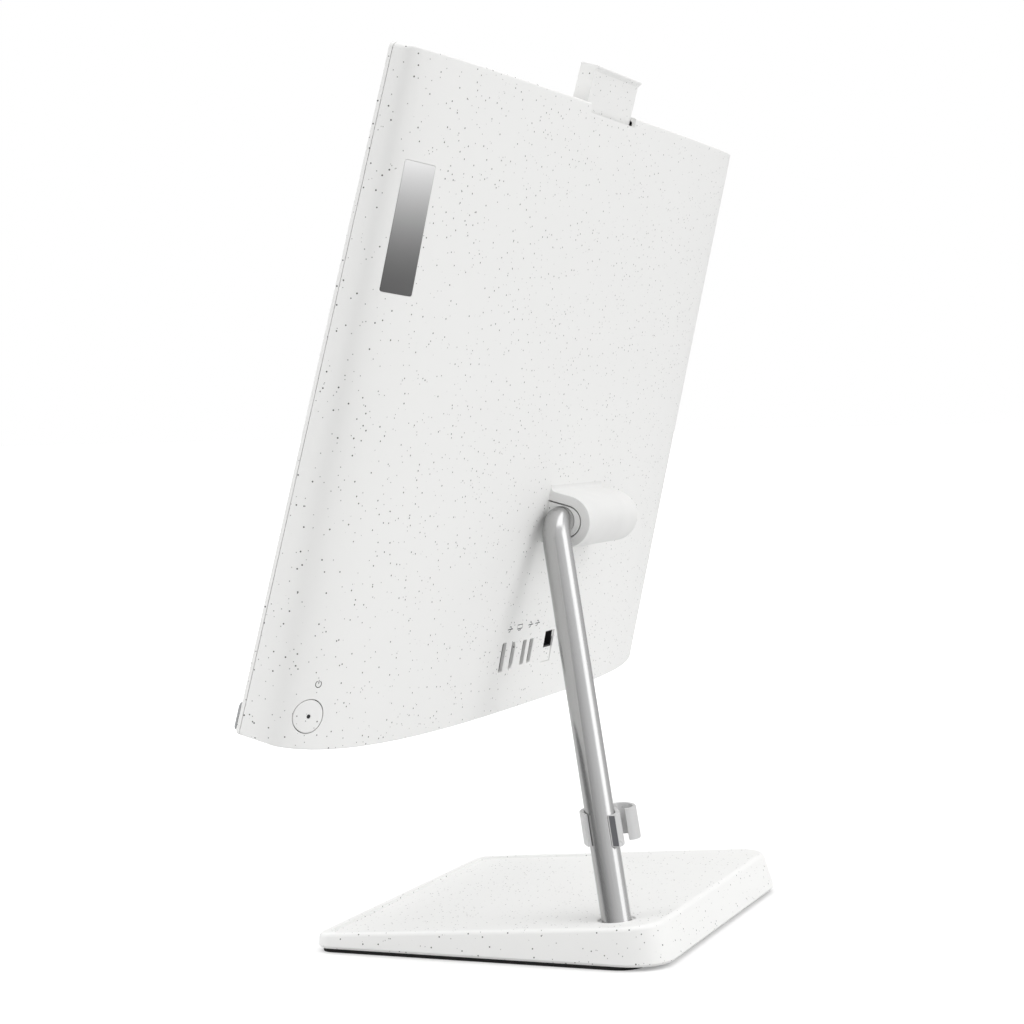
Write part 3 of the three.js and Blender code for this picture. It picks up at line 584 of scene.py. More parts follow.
def cover_sheet(bm, half_width, half_height, corner, wall, columns=150):
    rows = []
    for i in range(columns + 1):
        x = half_width * math.sin(math.pi / 2 * (2 * i / columns - 1))
        column = cover_column(x, half_width, half_height, corner, wall)
        rows.append([bm.verts.new(point) for point in column])
    for first, second in zip(rows, rows[1:]):
        for i in range(len(first) - 1):
            bm.faces.new((first[i], first[i + 1], second[i + 1], second[i]))
    bm.faces.new(rows[0])
    bm.faces.new(rows[-1])
    return rows


def cover_body():
    """The hollow cover before its openings are cut."""
    bm = bmesh.new()
    outer = cover_sheet(bm, HALF_WIDTH, HALF_HEIGHT, CORNER, 0)
    inner = cover_sheet(bm, HALF_WIDTH - WALL, HALF_HEIGHT - WALL, CORNER - WALL, WALL)
    for end in (0, -1):
        for i in range(len(outer) - 1):
            bm.faces.new((outer[i][end], outer[i + 1][end], inner[i + 1][end], inner[i][end]))
        bm.faces.new((outer[end][0], outer[end][-1], inner[end][-1], inner[end][0]))
    return bm


# ---- what is cut into the cover

socket_names = ("usb_port_1", "video_port", "usb_port_2", "usb_port_3")
SOCKET_WALL = 1.0


def socket_mouth(node):
    """A socket's mouth in the screen's frame: its middle, and its half width and half height."""
    low, high = extent(node, SCREEN)
    return (low + high) / 2, (high.x - low.x) / 2 - SOCKET_WALL, (high.z - low.z) / 2 - SOCKET_WALL


def slot_outline(node, grow=0.0):
    """A slot with small round corners, or with two cut corners for the video socket."""
    middle, half_x, half_z = socket_mouth(node)
    half_x += grow
    half_z += grow
    if node != "video_port":
        low, high = (middle.x - half_x, middle.z - half_z), (middle.x + half_x, middle.z + half_z)
        return rounded_rectangle(low, high, [0.8] * 4, 5)
    cut, left = 3.4, middle.x - half_x
    side = [(left, half_z - cut), (left + cut / 2, half_z - 0.4), (middle.x + half_x, half_z)]
    return [(x, middle.z - up) for x, up in side] + [(x, middle.z + up) for x, up in side[::-1]]


button_in = Vector(JOINTS["power_button_press"]["axis"]).normalized()
button_out = -(SCREEN.inverted().to_3x3() @ button_in).normalized()
button_low, button_high = extent("power_button", SCREEN)
BUTTON_RADIUS = (button_high.z - button_low.z) / 2


def button_middle():
    """Where the button's axis meets the cover."""
    light_low, light_high = extent("power_light", SCREEN)
    return meet_cover((light_low + light_high) / 2 - button_out * 3)


def meet_cover(start):
    """The point where a line along the button's axis leaves the cover."""
    near, far = 0.0, 30.0
    for _ in range(40):
        middle = (near + far) / 2
        point = start + button_out * middle
        if point.y < cover_depth(point.x, point.z):
            near = middle
        else:
            far = middle
    return start + button_out * near


BUTTON_SIDE = button_out.cross(Z).normalized()


def round_button(a, b, height):
    """A point in the frame of the power button, whose height is measured from the cover's skin."""
    start = button_spot + BUTTON_SIDE * a + Z * b - button_out * 12
    return meet_cover(start) + button_out * height


def straight_button(a, b, height):
    return button_spot + BUTTON_SIDE * a + Z * b + button_out * height


button_spot = button_middle()

webcam_low, webcam_high = extent("webcam_body", SCREEN)
WEBCAM_BACK = webcam_high.y - 1.8
NOTCH_DEPTH = 5.2


def cut_socket_slots(cutter):
    bevel = 0.35
    for node in socket_names:
        outline = slot_outline(node)
        pillow(cutter, outline, [(-16, 0), (-bevel, 0), (bevel, -2 * bevel)], on_cover)


def network_span():
    middle, half_x, half_z = socket_mouth("network_port")
    return (middle.x - half_x, middle.z - half_z), (middle.x + half_x, middle.z + half_z)


def cut_network_and_power(cutter):
    low, high = network_span()
    pillow(cutter, rounded_rectangle(low, high, [0.5] * 4, 3), [(-18, 0), (4, 0)], on_cover)
    inlet_low, inlet_high = extent("power_inlet", SCREEN)
    centre = ((inlet_low.x + inlet_high.x) / 2, (inlet_low.z + inlet_high.z) / 2)
    radius = (inlet_high.x - inlet_low.x) / 2 - 1.4
    pillow(cutter, circle(radius, 40, centre), [(-18, 0), (-0.5, 0), (0.5, -1.0)], on_cover)


def cut_webcam_slot(cutter):
    """The slot that the camera slides in, and the finger notch behind it."""
    gap, side_gap = 0.2, 0.2
    front, back, behind = webcam_low.y - gap, WEBCAM_BACK + gap, WEBCAM_BACK + 12
    floor, top = HALF_HEIGHT - NOTCH_DEPTH, HALF_HEIGHT + 5
    profile = [(front, floor - 6), (back, floor - 6), (back, floor)]
    profile += [(behind, floor), (behind, top), (front, top)]
    pillow(cutter, profile, [(webcam_low.x - side_gap, 0), (webcam_high.x + side_gap, 0)], facing_side)


def cut_vents(cutter):
    """Slots for the air: in at the bottom and out at the top."""
    for first, count, up, depth in ((-232, 16, HALF_HEIGHT, (11, 21)), (-90, 24, -HALF_HEIGHT, (17, 35))):
        for i in range(count):
            low, high = (first + 7 * i, depth[0]), (first + 7 * i + 3, depth[1])
            slot = rounded_rectangle(low, high, [1.45] * 4, 4)
            pillow(cutter, slot, [(up - 4, 0), (up + 4, 0)], facing_up)


def cut_button_hole(cutter):
    pillow(cutter, circle(BUTTON_RADIUS + 0.35, 64), [(-8, 0), (8, 0)], straight_button)


def curved_slab(bm, low, high, corner, under, over, edge=0.0, columns=24):
    """A patch of the cover's skin between two heights, with round corners and a rounded top edge."""
    rings = []
    half = (high[1] - low[1]) / 2
    middle = (high[1] + low[1]) / 2
    for i in range(columns + 1):
        share = 0.5 - 0.5 * math.cos(math.pi * i / columns)
        x = low[0] + (high[0] - low[0]) * share
        past = max(0, corner - min(x - low[0], high[0] - x))
        reach = half - corner + math.sqrt(max(0.0, corner**2 - past**2))
        drop = edge if i in (0, columns) else 0
        lean = edge if reach > edge else 0
        ring = [
            (middle - reach, under),
            (middle - reach, over - edge),
            (middle - reach + lean, over - drop),
            (middle + reach - lean, over - drop),
            (middle + reach, over - edge),
            (middle + reach, under),
        ]
        rings.append([on_cover(x, up, height) for up, height in ring])
    skin(bm, rings)


badge_low, badge_high = extent("badge_plate", SCREEN)
BADGE_LOW = (badge_low.x + 0.3, badge_low.z + 0.2)
BADGE_HIGH = (badge_high.x - 0.3, badge_high.z - 0.2)


def add_cover(white):
    cover = mesh_object("cover_shell", cover_body(), SCREEN)
    cutter = bmesh.new()
    cut_socket_slots(cutter)
    cut_network_and_power(cutter)
    cut_vents(cutter)
    cut_button_hole(cutter)
    curved_slab(cutter, BADGE_LOW, BADGE_HIGH, 1.2, -0.8, 3)
    cut_webcam_slot(cutter)
    carve(cover, cutter, SCREEN)
    dress(cover, white, "screen", "white_plastic", "back_cover")


def add_badge():
    low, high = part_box("badge_plate")
    gap = 0.2
    bm = bmesh.new()
    low_corner = (BADGE_LOW[0] + gap, BADGE_LOW[1] + gap)
    high_corner = (BADGE_HIGH[0] - gap, BADGE_HIGH[1] - gap)
    curved_slab(bm, low_corner, high_corner, 1.0, -0.7, 0.05, 0.12)
    badge = mesh_object("badge_blank", bm, SCREEN)
    dress(badge, badge_foil_painted_reflection(low.z, high.z), "screen", "badge_metal", "badge_plate")


# ---- front of the screen

picture_low, picture_high = extent("screen_face", SCREEN)
BORDER_GAP = 0.3


def add_bezel(white):
    low, high = extent("front_bezel", SCREEN)
    outer = face_outline(low, high, CORNER)
    gap = Vector((BORDER_GAP, 0, BORDER_GAP))
    inner = face_outline(picture_low - gap, picture_high + gap, 1)
    front, back, edge = low.y, high.y, 0.7
    rings = [
        (outer, 0, back),
        (outer, 0, front + edge),
        (outer, edge * 0.3, front + edge * 0.3),
        (outer, edge, front),
        (inner, -0.3, front),
        (inner, 0, front + 0.3),
        (inner, 0, back),
    ]
    bm = bmesh.new()
    skin(bm, [[facing_back(a, b, y) for a, b in inset(outline, move)] for outline, move, y in rings], True)
    dress(mesh_object("bezel_frame", bm, SCREEN), white, "screen", "white_plastic", "front_bezel")


def add_picture():
    bm = bmesh.new()
    levels = rounded_levels(picture_low.y, picture_high.y, 0.15, steps=2)
    pillow(bm, face_outline(picture_low, picture_high, 1), levels, facing_back)
    glass = mesh_object("display_glass", bm, SCREEN)
    dress(glass, dark_screen(), "screen", "screen_black", "screen_face")


def add_speaker_bar():
    low, high = extent("speaker_bar", SCREEN)
    bm = bmesh.new()
    pillow(bm, face_outline(low, high, 2.5), rounded_levels(low.y, high.y, 0.6, 0.2), facing_back)
    bar = mesh_object("speaker_cloth_bar", bm, SCREEN)
    dress(bar, woven_cloth(), "screen", "speaker_cloth", "speaker_bar")


# ---- webcam


def webcam_profile():
    """The camera's upright section, with round corners and the finger lip along the top of its back."""
    edge, lip = 0.6, 0.9
    front, back, tip = webcam_low.y, WEBCAM_BACK, webcam_high.y
    bottom, top = webcam_low.z, webcam_high.z
    return (
        arc((front + edge, bottom + edge), edge, 180, 270, 4)
        + arc((back - edge, bottom + edge), edge, 270, 360, 4)
        + [(back, top - 3.4)]
        + arc((tip - lip, top - lip), lip, -30, 90, 8)
        + arc((front + edge, top - edge), edge, 90, 180, 4)
    )


def add_webcam(white, black):
    bm = bmesh.new()
    levels = rounded_levels(webcam_low.x, webcam_high.x, 0.4, steps=3)
    pillow(bm, webcam_profile(), levels, facing_side)
    body = mesh_object("webcam_shell", bm, SCREEN)
    face_low, face_high = extent("webcam_face", SCREEN)
    radius = (face_high.z - face_low.z) / 2
    pocket = bmesh.new()
    window = face_outline(face_low, face_high, radius, 10)
    pillow(pocket, inset(window, -0.2), [(face_low.y - 2, 0), (face_high.y + 0.1, 0)], facing_back)
    carve(body, pocket, SCREEN)
    dress(body, white, "webcam", "white_plastic", "webcam_body")

    face = bmesh.new()
    pillow(face, window, rounded_levels(face_low.y, face_high.y, 0.2), facing_back)
    face = mesh_object("webcam_window", face, SCREEN)
    dress(face, dark_screen(), "webcam", "screen_black", "webcam_face")

    lens_low, lens_high = extent("webcam_lens", SCREEN)
    middle = (lens_low + lens_high) / 2
    lens = bmesh.new()
    for radius, drop, edge in ((3.2, 0.12, 0.1), (2.2, 0.0, 0.15)):
        levels = rounded_levels(lens_low.y + drop, lens_high.y, edge)
        pillow(lens, circle(radius, 40, (middle.x, middle.z)), levels, facing_back)
    dress(mesh_object("webcam_lens_ring", lens, SCREEN), black, "webcam", "screen_black", "webcam_lens")


# ---- power button and printed marks


def add_button(white, black):
    radius, hole, gap = BUTTON_RADIUS - 0.1, 1.15, 0.12
    outline = circle(radius, 64)
    bm = bmesh.new()
    rows = [[straight_button(a, b, -5.5) for a, b in outline]]
    for height, move in ((-0.45, 0), (-0.13, 0.1), (0.0, 0.42)):
        rows.append([round_button(a, b, height) for a, b in inset(outline, move)])
    rim = hole / radius
    for share, height in ((0.75, 0), (0.5, 0), (0.3, 0), (rim, 0), (rim, -1.6)):
        rows.append([round_button(a * share, b * share, height) for a, b in outline])
    skin(bm, rows)
    dress(mesh_object("power_cap", bm, SCREEN), white, "button", "white_plastic", "power_button")
    light = bmesh.new()
    levels = [(-1.5, 0), (-0.15, 0), (-0.02, 0.12), (0.02, 0.4)]
    pillow(light, circle(hole - gap, 32), levels, round_button)
    dress(mesh_object("power_lamp", light, SCREEN), black, "button", "chip_black", "power_light")


def ribbon(bm, path, width, put):
    """A thin printed line along a path of points, a hair over the surface."""
    raised, sunk = 0.03, -0.2
    rings = []
    for i, point in enumerate(path):
        before, after = Vector(path[max(i - 1, 0)]), Vector(path[min(i + 1, len(path) - 1)])
        along = (after - before).normalized()
        side = Vector((-along.y, along.x)) * width / 2
        left, right = Vector(point) + side, Vector(point) - side
        corners = ((left, sunk), (left, raised), (right, raised), (right, sunk))
        rings.append([put(spot.x, spot.y, height) for spot, height in corners])
    skin(bm, rings)


def add_marks():
    """The power symbol and a small pictogram over each socket, as thin prints."""
    bm = bmesh.new()
    stroke = 0.5
    middle = (-1.9, BUTTON_RADIUS + 8.2)
    ribbon(bm, arc(middle, 1.75, 120, 420, 24), 0.4, round_button)
    ribbon(bm, [(middle[0], middle[1] + 0.2), (middle[0], middle[1] + 2.1)], 0.4, round_button)
    for node in socket_names:
        x, up = socket_mouth(node)[0].x - 4.5, -125.2
        if node == "video_port":
            left, right, low, high = x - 4, x + 4, up - 0.8, up + 1.5
            screen = [(left, low), (right, low), (right, high), (left, high), (left, low)]
            ribbon(bm, screen, stroke, on_cover)
            ribbon(bm, [(x - 2.2, up - 1.7), (x + 2.2, up - 1.7)], stroke, on_cover)
            continue
        ribbon(bm, [(x - 3.8, up), (x + 3.8, up)], stroke, on_cover)
        ribbon(bm, [(x - 1.8, up), (x - 0.6, up + 1.5), (x + 1.6, up + 1.5)], stroke, on_cover)
        ribbon(bm, [(x - 0.6, up), (x + 0.6, up - 1.4), (x + 2.4, up - 1.4)], stroke, on_cover)
    marks = mesh_object("printed_marks", bm, SCREEN)
    dress(marks, plain_plastic("dark_print", "chip_black", 0.6), "screen", "chip_black")


# ---- sockets


def add_sockets(steel, black, white):
    for node in socket_names:
        low, high = extent(node, SCREEN)
        middle, half_x, half_z = socket_mouth(node)
        bm = bmesh.new()
        outer, inner = slot_outline(node, 0.3), slot_outline(node, -0.15)
        rings = [(outer, low.y), (outer, high.y), (inner, high.y), (inner, low.y + 2)]
        skin(bm, [[facing_back(a, b, y) for a, b in outline] for outline, y in rings])
        dress(mesh_object(node + "_shell", bm, SCREEN), steel, "screen", "sheet_steel", node)
        tongue = bmesh.new()
        x0 = middle.x - half_x * 0.55
        reach = half_z * 0.78
        box(tongue, (x0, low.y + 1.5, middle.z - reach), (x0 + 1.7, high.y - 1, middle.z + reach), 0.2)
        tip = mesh_object(node + "_tongue", tongue, SCREEN)
        dress(tip, black, "screen", "black_plastic")
        pins = bmesh.new()
        count = 4
        for i in range(count):
            up = middle.z + half_z * 0.5 * (2 * i / (count - 1) - 1)
            box(pins, (x0 + 1.65, low.y + 3, up - 0.5), (x0 + 1.85, high.y - 1.6, up + 0.5), 0.05)
        dress(mesh_object(node + "_contacts", pins, SCREEN), steel, "screen", "sheet_steel")
    add_network_socket(black, white, steel)
    add_power_inlet(black, steel)


def add_network_socket(black, white, steel):
    """A white recess that runs up to the surface at the bottom, with the black jack in its deep end."""
    low, high = network_span()
    socket_back = extent("network_port", SCREEN)[0].y
    gap = 0.15
    left, right = low[0] + gap, high[0] - gap
    bottom, top = low[1] + gap, high[1] - gap
    sill, floor = bottom + 8.6, -0.9
    ramp = bmesh.new()
    profile = [(bottom, -6), (bottom, -0.5), (bottom + 0.8, -0.4), (sill, floor), (sill, -6)]
    rings = [[on_cover(x, up, height) for up, height in profile] for x in (left, right)]
    skin(ramp, rings)
    shoulder, shoulder_low = 1.2, top - 4.3
    for x0, x1 in ((left, left + shoulder), (right - shoulder, right)):
        profile = [(shoulder_low, -6), (shoulder_low, floor), (top, floor), (top, -6)]
        skin(ramp, [[on_cover(x, up, height) for up, height in profile] for x in (x0, x1)])
    dress(mesh_object("network_recess", ramp, SCREEN), white, "screen", "white_plastic")

    jack = bmesh.new()
    gap = 0.1
    step = shoulder_low - gap
    narrow = (left + shoulder + gap, right - shoulder - gap)
    outline = [
        (left, sill + gap),
        (right, sill + gap),
        (right, step),
        (narrow[1], step),
        (narrow[1], top),
        (narrow[0], top),
        (narrow[0], step),
        (left, step),
    ]
    mouth = inset(outline, 0.9)
    front = floor - 0.1
    back = socket_back - cover_depth(0, bottom)
    rings = [(outline, back), (outline, front), (mouth, front), (mouth, back + 2)]
    skin(jack, [[on_cover(a, b, height) for a, b in line] for line, height in rings])
    dress(mesh_object("network_jack", jack, SCREEN), black, "screen", "black_plastic", "network_port")

    pins = bmesh.new()
    for i in range(8):
        x = (left + right) / 2 + 1.02 * (i - 3.5)
        path = [(socket_back + 3, sill + 1.3), (socket_back + 9, sill + 1.9), (socket_back + 4, sill + 4)]
        rings = []
        for depth, up in path:
            corners = ((-0.2, 0), (0.2, 0), (0.2, 0.3), (-0.2, 0.3))
            rings.append([Vector((x + dx, depth, up + dz)) for dx, dz in corners])
        skin(pins, rings)
    dress(mesh_object("network_contacts", pins, SCREEN), steel, "screen", "sheet_steel")


def add_power_inlet(black, steel):
    low, high = extent("power_inlet", SCREEN)
    centre = ((low.x + high.x) / 2, (low.z + high.z) / 2)
    radius = (high.x - low.x) / 2
    bore = radius - 1.8
    rings = [(radius, low.y), (radius, high.y)]
    rings += [(bore + 0.2, high.y), (bore, high.y - 0.3), (bore, low.y + 2)]
    bm = bmesh.new()
    skin(bm, [[facing_back(a, b, y) for a, b in circle(r, 40, centre)] for r, y in rings])
    dress(mesh_object("inlet_barrel", bm, SCREEN), black, "screen", "black_plastic", "power_inlet")
    pin = bmesh.new()
    pillow(pin, circle(0.9, 20, centre), rounded_levels(low.y + 1.5, high.y - 1, 0.3), facing_back)
    dress(mesh_object("inlet_pin", pin, SCREEN), steel, "screen", "sheet_steel")


# ---- hinge

housing_low, housing_high = extent("hinge_housing", SCREEN)
HOUSING_RADIUS = (housing_high.z - housing_low.z) / 2
HOUSING_CENTRE = (housing_high.y - HOUSING_RADIUS, (housing_low.z + housing_high.z) / 2)
cap_low, cap_high = extent("hinge_end_cap", SCREEN)
CAP_RADIUS = cap_high.y - HOUSING_CENTRE[0]


def rounded_back(radius, front, blend=0.0):
    """The hinge's upright section: flat above and below with a round back. A blend flares its top into
    the cover."""
    depth, up = HOUSING_CENTRE
    outline = [(front, up - radius)]
    outline += arc((depth, up), radius, -90, 90, 28)
    if blend:
        skin_depth = cover_depth(0, up + radius) - 0.05
        outline += arc((skin_depth + blend, up + radius + blend), blend, 270, 180, 8)
    outline.append((front, up + radius + blend))
    return outline


def add_hinge(white):
    # Painted shade: the housing is the same white plastic as the end cap, painted 0.94 times darker so that it
    # reads as shaded.
    plain = plain_plastic("hinge_moulding_painted_shade", "white_plastic", 0.5, shade=0.94)
    bm = bmesh.new()
    far_edge, near_edge = 2.5, 0.5
    levels = rounded_levels(housing_low.x, housing_high.x, far_edge, near_edge, steps=8)
    rings = []
    for x, move in levels:
        section = rounded_back(HOUSING_RADIUS - move, housing_low.y - 1.5, 3.0)
        rings.append([facing_side(depth, up, x) for depth, up in section])
    skin(bm, rings)
    housing = mesh_object("hinge_shell", bm, SCREEN)
    socket = bmesh.new()
    levels = [(housing_low.x + 8, 0), (housing_high.x - 0.3, 0), (housing_high.x + 0.3, -0.5)]
    pillow(socket, rounded_back(CAP_RADIUS + 0.35, 37), levels, facing_side)
    carve(housing, socket, SCREEN)
    dress(housing, plain, "screen", "white_plastic", "hinge_housing")

    cap = bmesh.new()
    face = housing_high.x - 0.6
    levels = rounded_levels(cap_low.x, face, 0.05, 0.25, steps=3)
    pillow(cap, rounded_back(CAP_RADIUS - 0.4, 48.5), levels, facing_side)
    cap = mesh_object("hinge_cap", cap, SCREEN)
    ring = bmesh.new()
    outline = circle(TUBE_RADIUS + 0.15, 48, (HINGE_DEPTH, HINGE_UP))
    pillow(ring, outline, [(tube_path[0].x - 1, 0), (face + 5, 0)], facing_side)
    carve(cap, ring, SCREEN)
    dress(cap, white, "screen", "white_plastic", "hinge_end_cap")


# ---- tube

tube_up = Vector(JOINTS["clip_slide"]["axis"]).normalized()
TUBE_BEND = 16.5


def tube_line():
    """The tube's centre line in row millimetres, from the hinge down to its lower end, and its radius."""
    points = points_of("stand_tube", ROW)
    radius = max(point.z for point in points) - hinge.z / MM
    lowest = min(point.dot(tube_up) for point in points)
    ring = [point for point in points if point.dot(tube_up) < lowest + 2]
    foot = sum(ring, Vector()) / len(ring)
    corner = foot + tube_up * ((hinge.z / MM - foot.z) / tube_up.z)
    along, down = -X, -tube_up
    half = along.angle(down) / 2
    reach = TUBE_BEND / math.tan(half)
    centre = corner + (along + down).normalized() * TUBE_BEND / math.sin(half)
    start, end = corner + along * reach - centre, corner + down * reach - centre
    sweep = start.angle(end)
    steps = 28
    bend = []
    for i in range(steps + 1):
        angle = sweep * i / steps
        spot = (start * math.sin(sweep - angle) + end * math.sin(angle)) / math.sin(sweep)
        bend.append(centre + spot)
    straight = 24
    leg = [bend[-1].lerp(foot, (i + 1) / straight) for i in range(straight)]
    return bend + leg, radius


tube_path, TUBE_RADIUS = tube_line()


def add_tube():
    sides = 64
    wall = 1.5
    across = X.cross(tube_up).normalized()
    rings = []
    for radius, path in ((TUBE_RADIUS, tube_path), (TUBE_RADIUS - wall, tube_path[::-1])):
        for i, spot in enumerate(path):
            before, after = path[max(i - 1, 0)], path[min(i + 1, len(path) - 1)]
            along = (after - before).normalized() * (1 if path is tube_path else -1)
            side = along.cross(across)
            ring = circle(radius, sides)
            rings.append([spot + across * a + side * b for a, b in ring])
    bm = bmesh.new()
    skin(bm, rings, True)
    tube = mesh_object("steel_tube", bm, ROW)
    dress(tube, brushed_tube(tube_up), "stand", "stand_steel", "stand_tube")


# ---- cable clip


CLIP_FACING = Vector((1, 0.33, 0))
CLIP_RISE = 0.09
CLIP_HALF = 9.0


def clip_frame():
    """The clip's frame in the row: X away from its hook, Y to its mouth and Z up the tube."""
    foot = tube_path[-1]
    heights = [(point - foot).dot(tube_up) for point in points_of("cable_clip", ROW)]
    mouth = (CLIP_FACING - tube_up * CLIP_FACING.dot(tube_up)).normalized()
    side = mouth.cross(tube_up)
    return side, mouth, foot + tube_up * (min(heights) + max(heights)) / 2


def open_ring(inner, outer, centre, starts, end):
    """A C outline between two radii. Its two arcs start at their own angles."""
    outline = arc(centre, outer, starts[1], end, 40)
    return outline + arc(centre, inner, end, starts[0], 40)


def add_clip():
    side, mouth, middle = clip_frame()
    normal = (CLIP_FACING * CLIP_RISE + Z).normalized()
    across, away, along = (axis.dot(normal) for axis in (side, mouth, tube_up))

    def put(a, b, height):
        """A height above the clip's middle, whose ends rise away from the mouth."""
        return Vector((a, b, height - (a * across + b * away) / along))

    place = axes(side, mouth, tube_up, middle * MM)
    levels = rounded_levels(-CLIP_HALF, CLIP_HALF, 0.35, steps=3)
    inner, outer, jaw = TUBE_RADIUS + 0.3, TUBE_RADIUS + 2.9, 7.4
    starts = [180 - math.degrees(math.asin(jaw / radius)) for radius in (inner, outer)]
    bm = bmesh.new()
    pillow(bm, open_ring(inner, outer, (0, 0), starts, 398), levels, put)
    clip = mesh_object("clip_body", bm, place)
    hook = bmesh.new()
    centre = (-12.8, -12.8)
    levels = rounded_levels(0.15 - CLIP_HALF, CLIP_HALF - 0.15, 0.35, steps=3)
    pillow(hook, open_ring(5.5, 7.4, centre, (98, 98), 420), levels, put)
    carve(clip, hook, place, "UNION")
    dress(clip, translucent_plastic(), "clip", "translucent_plastic", "cable_clip")
    # Painted shade: a thin dark grey sheet on the end of the jaw, standing in for the shadow on that end face; the
    # clip is all pale see-through plastic.
    painted_shade_pad = bmesh.new()
    reach = [math.sqrt(radius**2 - jaw**2) for radius in (outer - 0.2, inner + 0.3)]
    low, high = (-reach[0], jaw - 0.4), (-reach[1], jaw + 0.12)
    levels = rounded_levels(0.5 - CLIP_HALF, CLIP_HALF - 0.5, 0.1, steps=2)
    pillow(painted_shade_pad, rounded_rectangle(low, high, [0.05] * 4, 2), levels, put)
    painted_shade_pad = mesh_object("clip_jaw_painted_shade", painted_shade_pad, place)
    dress(painted_shade_pad, plain_plastic("clip_end_painted_shade", "dark_steel", 0.6), "clip", "translucent_plastic")


# ---- base

base_low, base_high = extent("base_shell", ROW)
base_points = points_of("base_shell", ROW)
front_top = max((point for point in base_points if point.y < base_low.y + 3), key=lambda point: point.z)
rear_top = max(base_points, key=lambda point: point.z)
BASE_SLOPE = (rear_top.z - front_top.z) / (rear_top.y - front_top.y)
WALL_LEAN = 0.00075
REAR_REACH = base_high.y + base_low.y
REAR_LEAN = 0.21


def slope_top(y):
    return front_top.z + (y - front_top.y) * BASE_SLOPE


def base_plan(margin=0.0):
    radii = [9, 9, 24, 24]
    low, high = (base_low.x, base_low.y), (base_high.x, -base_low.y)
    return inset(rounded_rectangle(low, high, radii, 10), margin)


def leaned(x, y, z):
    """A point of the base's wall, which leans in as it rises, most of all at the rear."""
    height = z - base_low.z
    shrink = 1 - WALL_LEAN * height
    rear_share = max(y, 0) / -base_low.y
    return Vector((x * shrink, y * shrink + rear_share * (REAR_REACH - REAR_LEAN * height), z))


def add_base(white):
    bm = bmesh.new()
    bottom, chamfer, edge = base_low.z, 1.5, 2.6
    rings = [[leaned(x, y, bottom) for x, y in base_plan(chamfer)]]
    rings.append([leaned(x, y, bottom + chamfer) for x, y in base_plan()])
    for i in range(6):
        turn = math.pi / 2 * i / 5
        drop, move = edge * (1 - math.sin(turn)), edge * (1 - math.cos(turn))
        rings.append([leaned(x, y, slope_top(y) - drop) for x, y in base_plan(move)])
    skin(bm, rings)
    base = mesh_object("base_body", bm, ROW)
    cutter = bmesh.new()
    rim, step_y, depth = 6.4, -4.5, 1.6
    low, high = (base_low.x + rim, base_low.y + rim), (base_high.x - rim, step_y)
    tray = rounded_rectangle(low, high, [7, 7, 0.6, 0.6], 8)
    levels = [(-depth, 0.9), (-depth + 0.25, 0.3), (-depth + 0.9, 0), (-0.25, 0), (0.6, -0.8), (4, -0.8)]
    pillow(cutter, tray, levels, lambda a, b, height: Vector((a, b, slope_top(b) + height)))
    carve(base, cutter, ROW)
    add_tube_recess(base)
    dress(base, white, "stand", "white_plastic", "base_shell")


def add_tube_recess(base):
    """The shallow round recess in the base's top, and the hole that the tube goes down."""
    crossing = min(tube_path, key=lambda spot: abs(spot.z - slope_top(spot.y)))
    spot = crossing + tube_up * ((slope_top(crossing.y) - crossing.z) / tube_up.z)
    recess = bmesh.new()
    outline = circle(10.3, 64, (spot.x, spot.y))
    levels = [(-0.8, 0.3), (-0.5, 0), (-0.2, 0), (0.3, -0.5), (3, -0.5)]
    pillow(recess, outline, levels, lambda a, b, height: Vector((a, b, slope_top(b) + height)))
    carve(base, recess, ROW)
    hole = bmesh.new()
    side = X.cross(tube_up).normalized()
    front = tube_up.cross(side)
    outline = circle(TUBE_RADIUS + 0.4, 64)
    rings = [[spot + side * a + front * b + tube_up * h for a, b in outline] for h in (-8, 6)]
    skin(hole, rings)
    carve(base, hole, ROW)


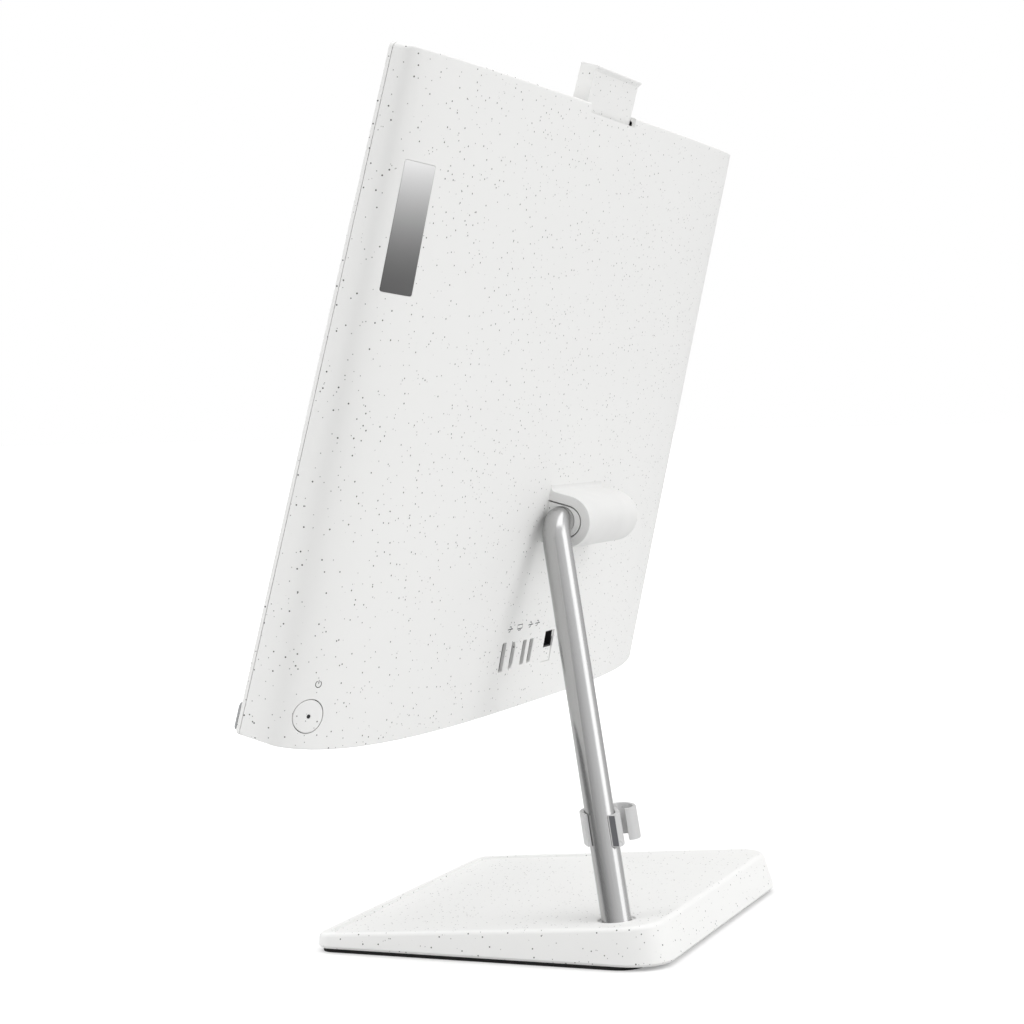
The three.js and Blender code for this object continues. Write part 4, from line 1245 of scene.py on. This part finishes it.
def add_foot(black):
    low, high = extent("rubber_foot", ROW)
    bm = bmesh.new()
    outline = rounded_rectangle(low, high, [7.5, 7.5, 14, 14], 10)
    pillow(bm, outline, rounded_levels(low.z, high.z, 0.3, 0.1, steps=3), facing_up)
    dress(mesh_object("foot_pad", bm, ROW), black, "stand", "rubber", "rubber_foot")


# ---- finishes of the inner parts


def finish_inner_parts(finishes):
    slots = {part["node"]: part["material_slot"] for part in frame["record"]["subparts"]}
    for name, node in frame["nodes"].items():
        node.data.materials.clear()
        node.data.materials.append(finishes[slots[name]])


def all_finishes():
    """One finish for each material slot of the record."""
    return {
        "white_plastic": speckled_plastic(),
        "translucent_plastic": plain_plastic("clip_plastic_plain", "translucent_plastic", 0.3),
        "black_plastic": plain_plastic("black_moulding", "black_plastic", 0.5),
        "screen_black": dark_screen(),
        "speaker_cloth": woven_cloth(),
        "stand_steel": metal("stand_steel_plain", "stand_steel", 0.3, (1, 1, 0.02)),
        "badge_metal": metal("badge_metal_plain", "badge_metal", 0.35),
        "sheet_steel": metal("plated_sheet", "sheet_steel", 0.38, (1, 0.1, 1)),
        "dark_steel": metal("blackened_steel", "dark_steel", 0.5),
        "copper": metal("bare_copper", "copper", 0.3, scale=300),
        "aluminium": metal("mill_aluminium", "aluminium", 0.4, (0.05, 1, 1)),
        "light_guide": plain_plastic("light_guide_sheet", "light_guide", 0.25),
        "circuit_board": circuit_green(),
        "chip_black": plain_plastic("chip_moulding", "chip_black", 0.4),
        "rubber": plain_plastic("black_rubber", "rubber", 0.85, 900),
    }


add_camera()
add_studio()
add_floor()
finishes = all_finishes()
finish_inner_parts(finishes)
white = finishes["white_plastic"]
black = finishes["black_plastic"]
steel = finishes["sheet_steel"]
add_cover(white)
add_badge()
add_bezel(white)
add_picture()
add_speaker_bar()
add_webcam(white, finishes["screen_black"])
add_button(white, finishes["chip_black"])
add_marks()
add_sockets(steel, black, white)
add_tube()
add_hinge(white)
add_clip()
add_base(white)
add_foot(finishes["rubber"])
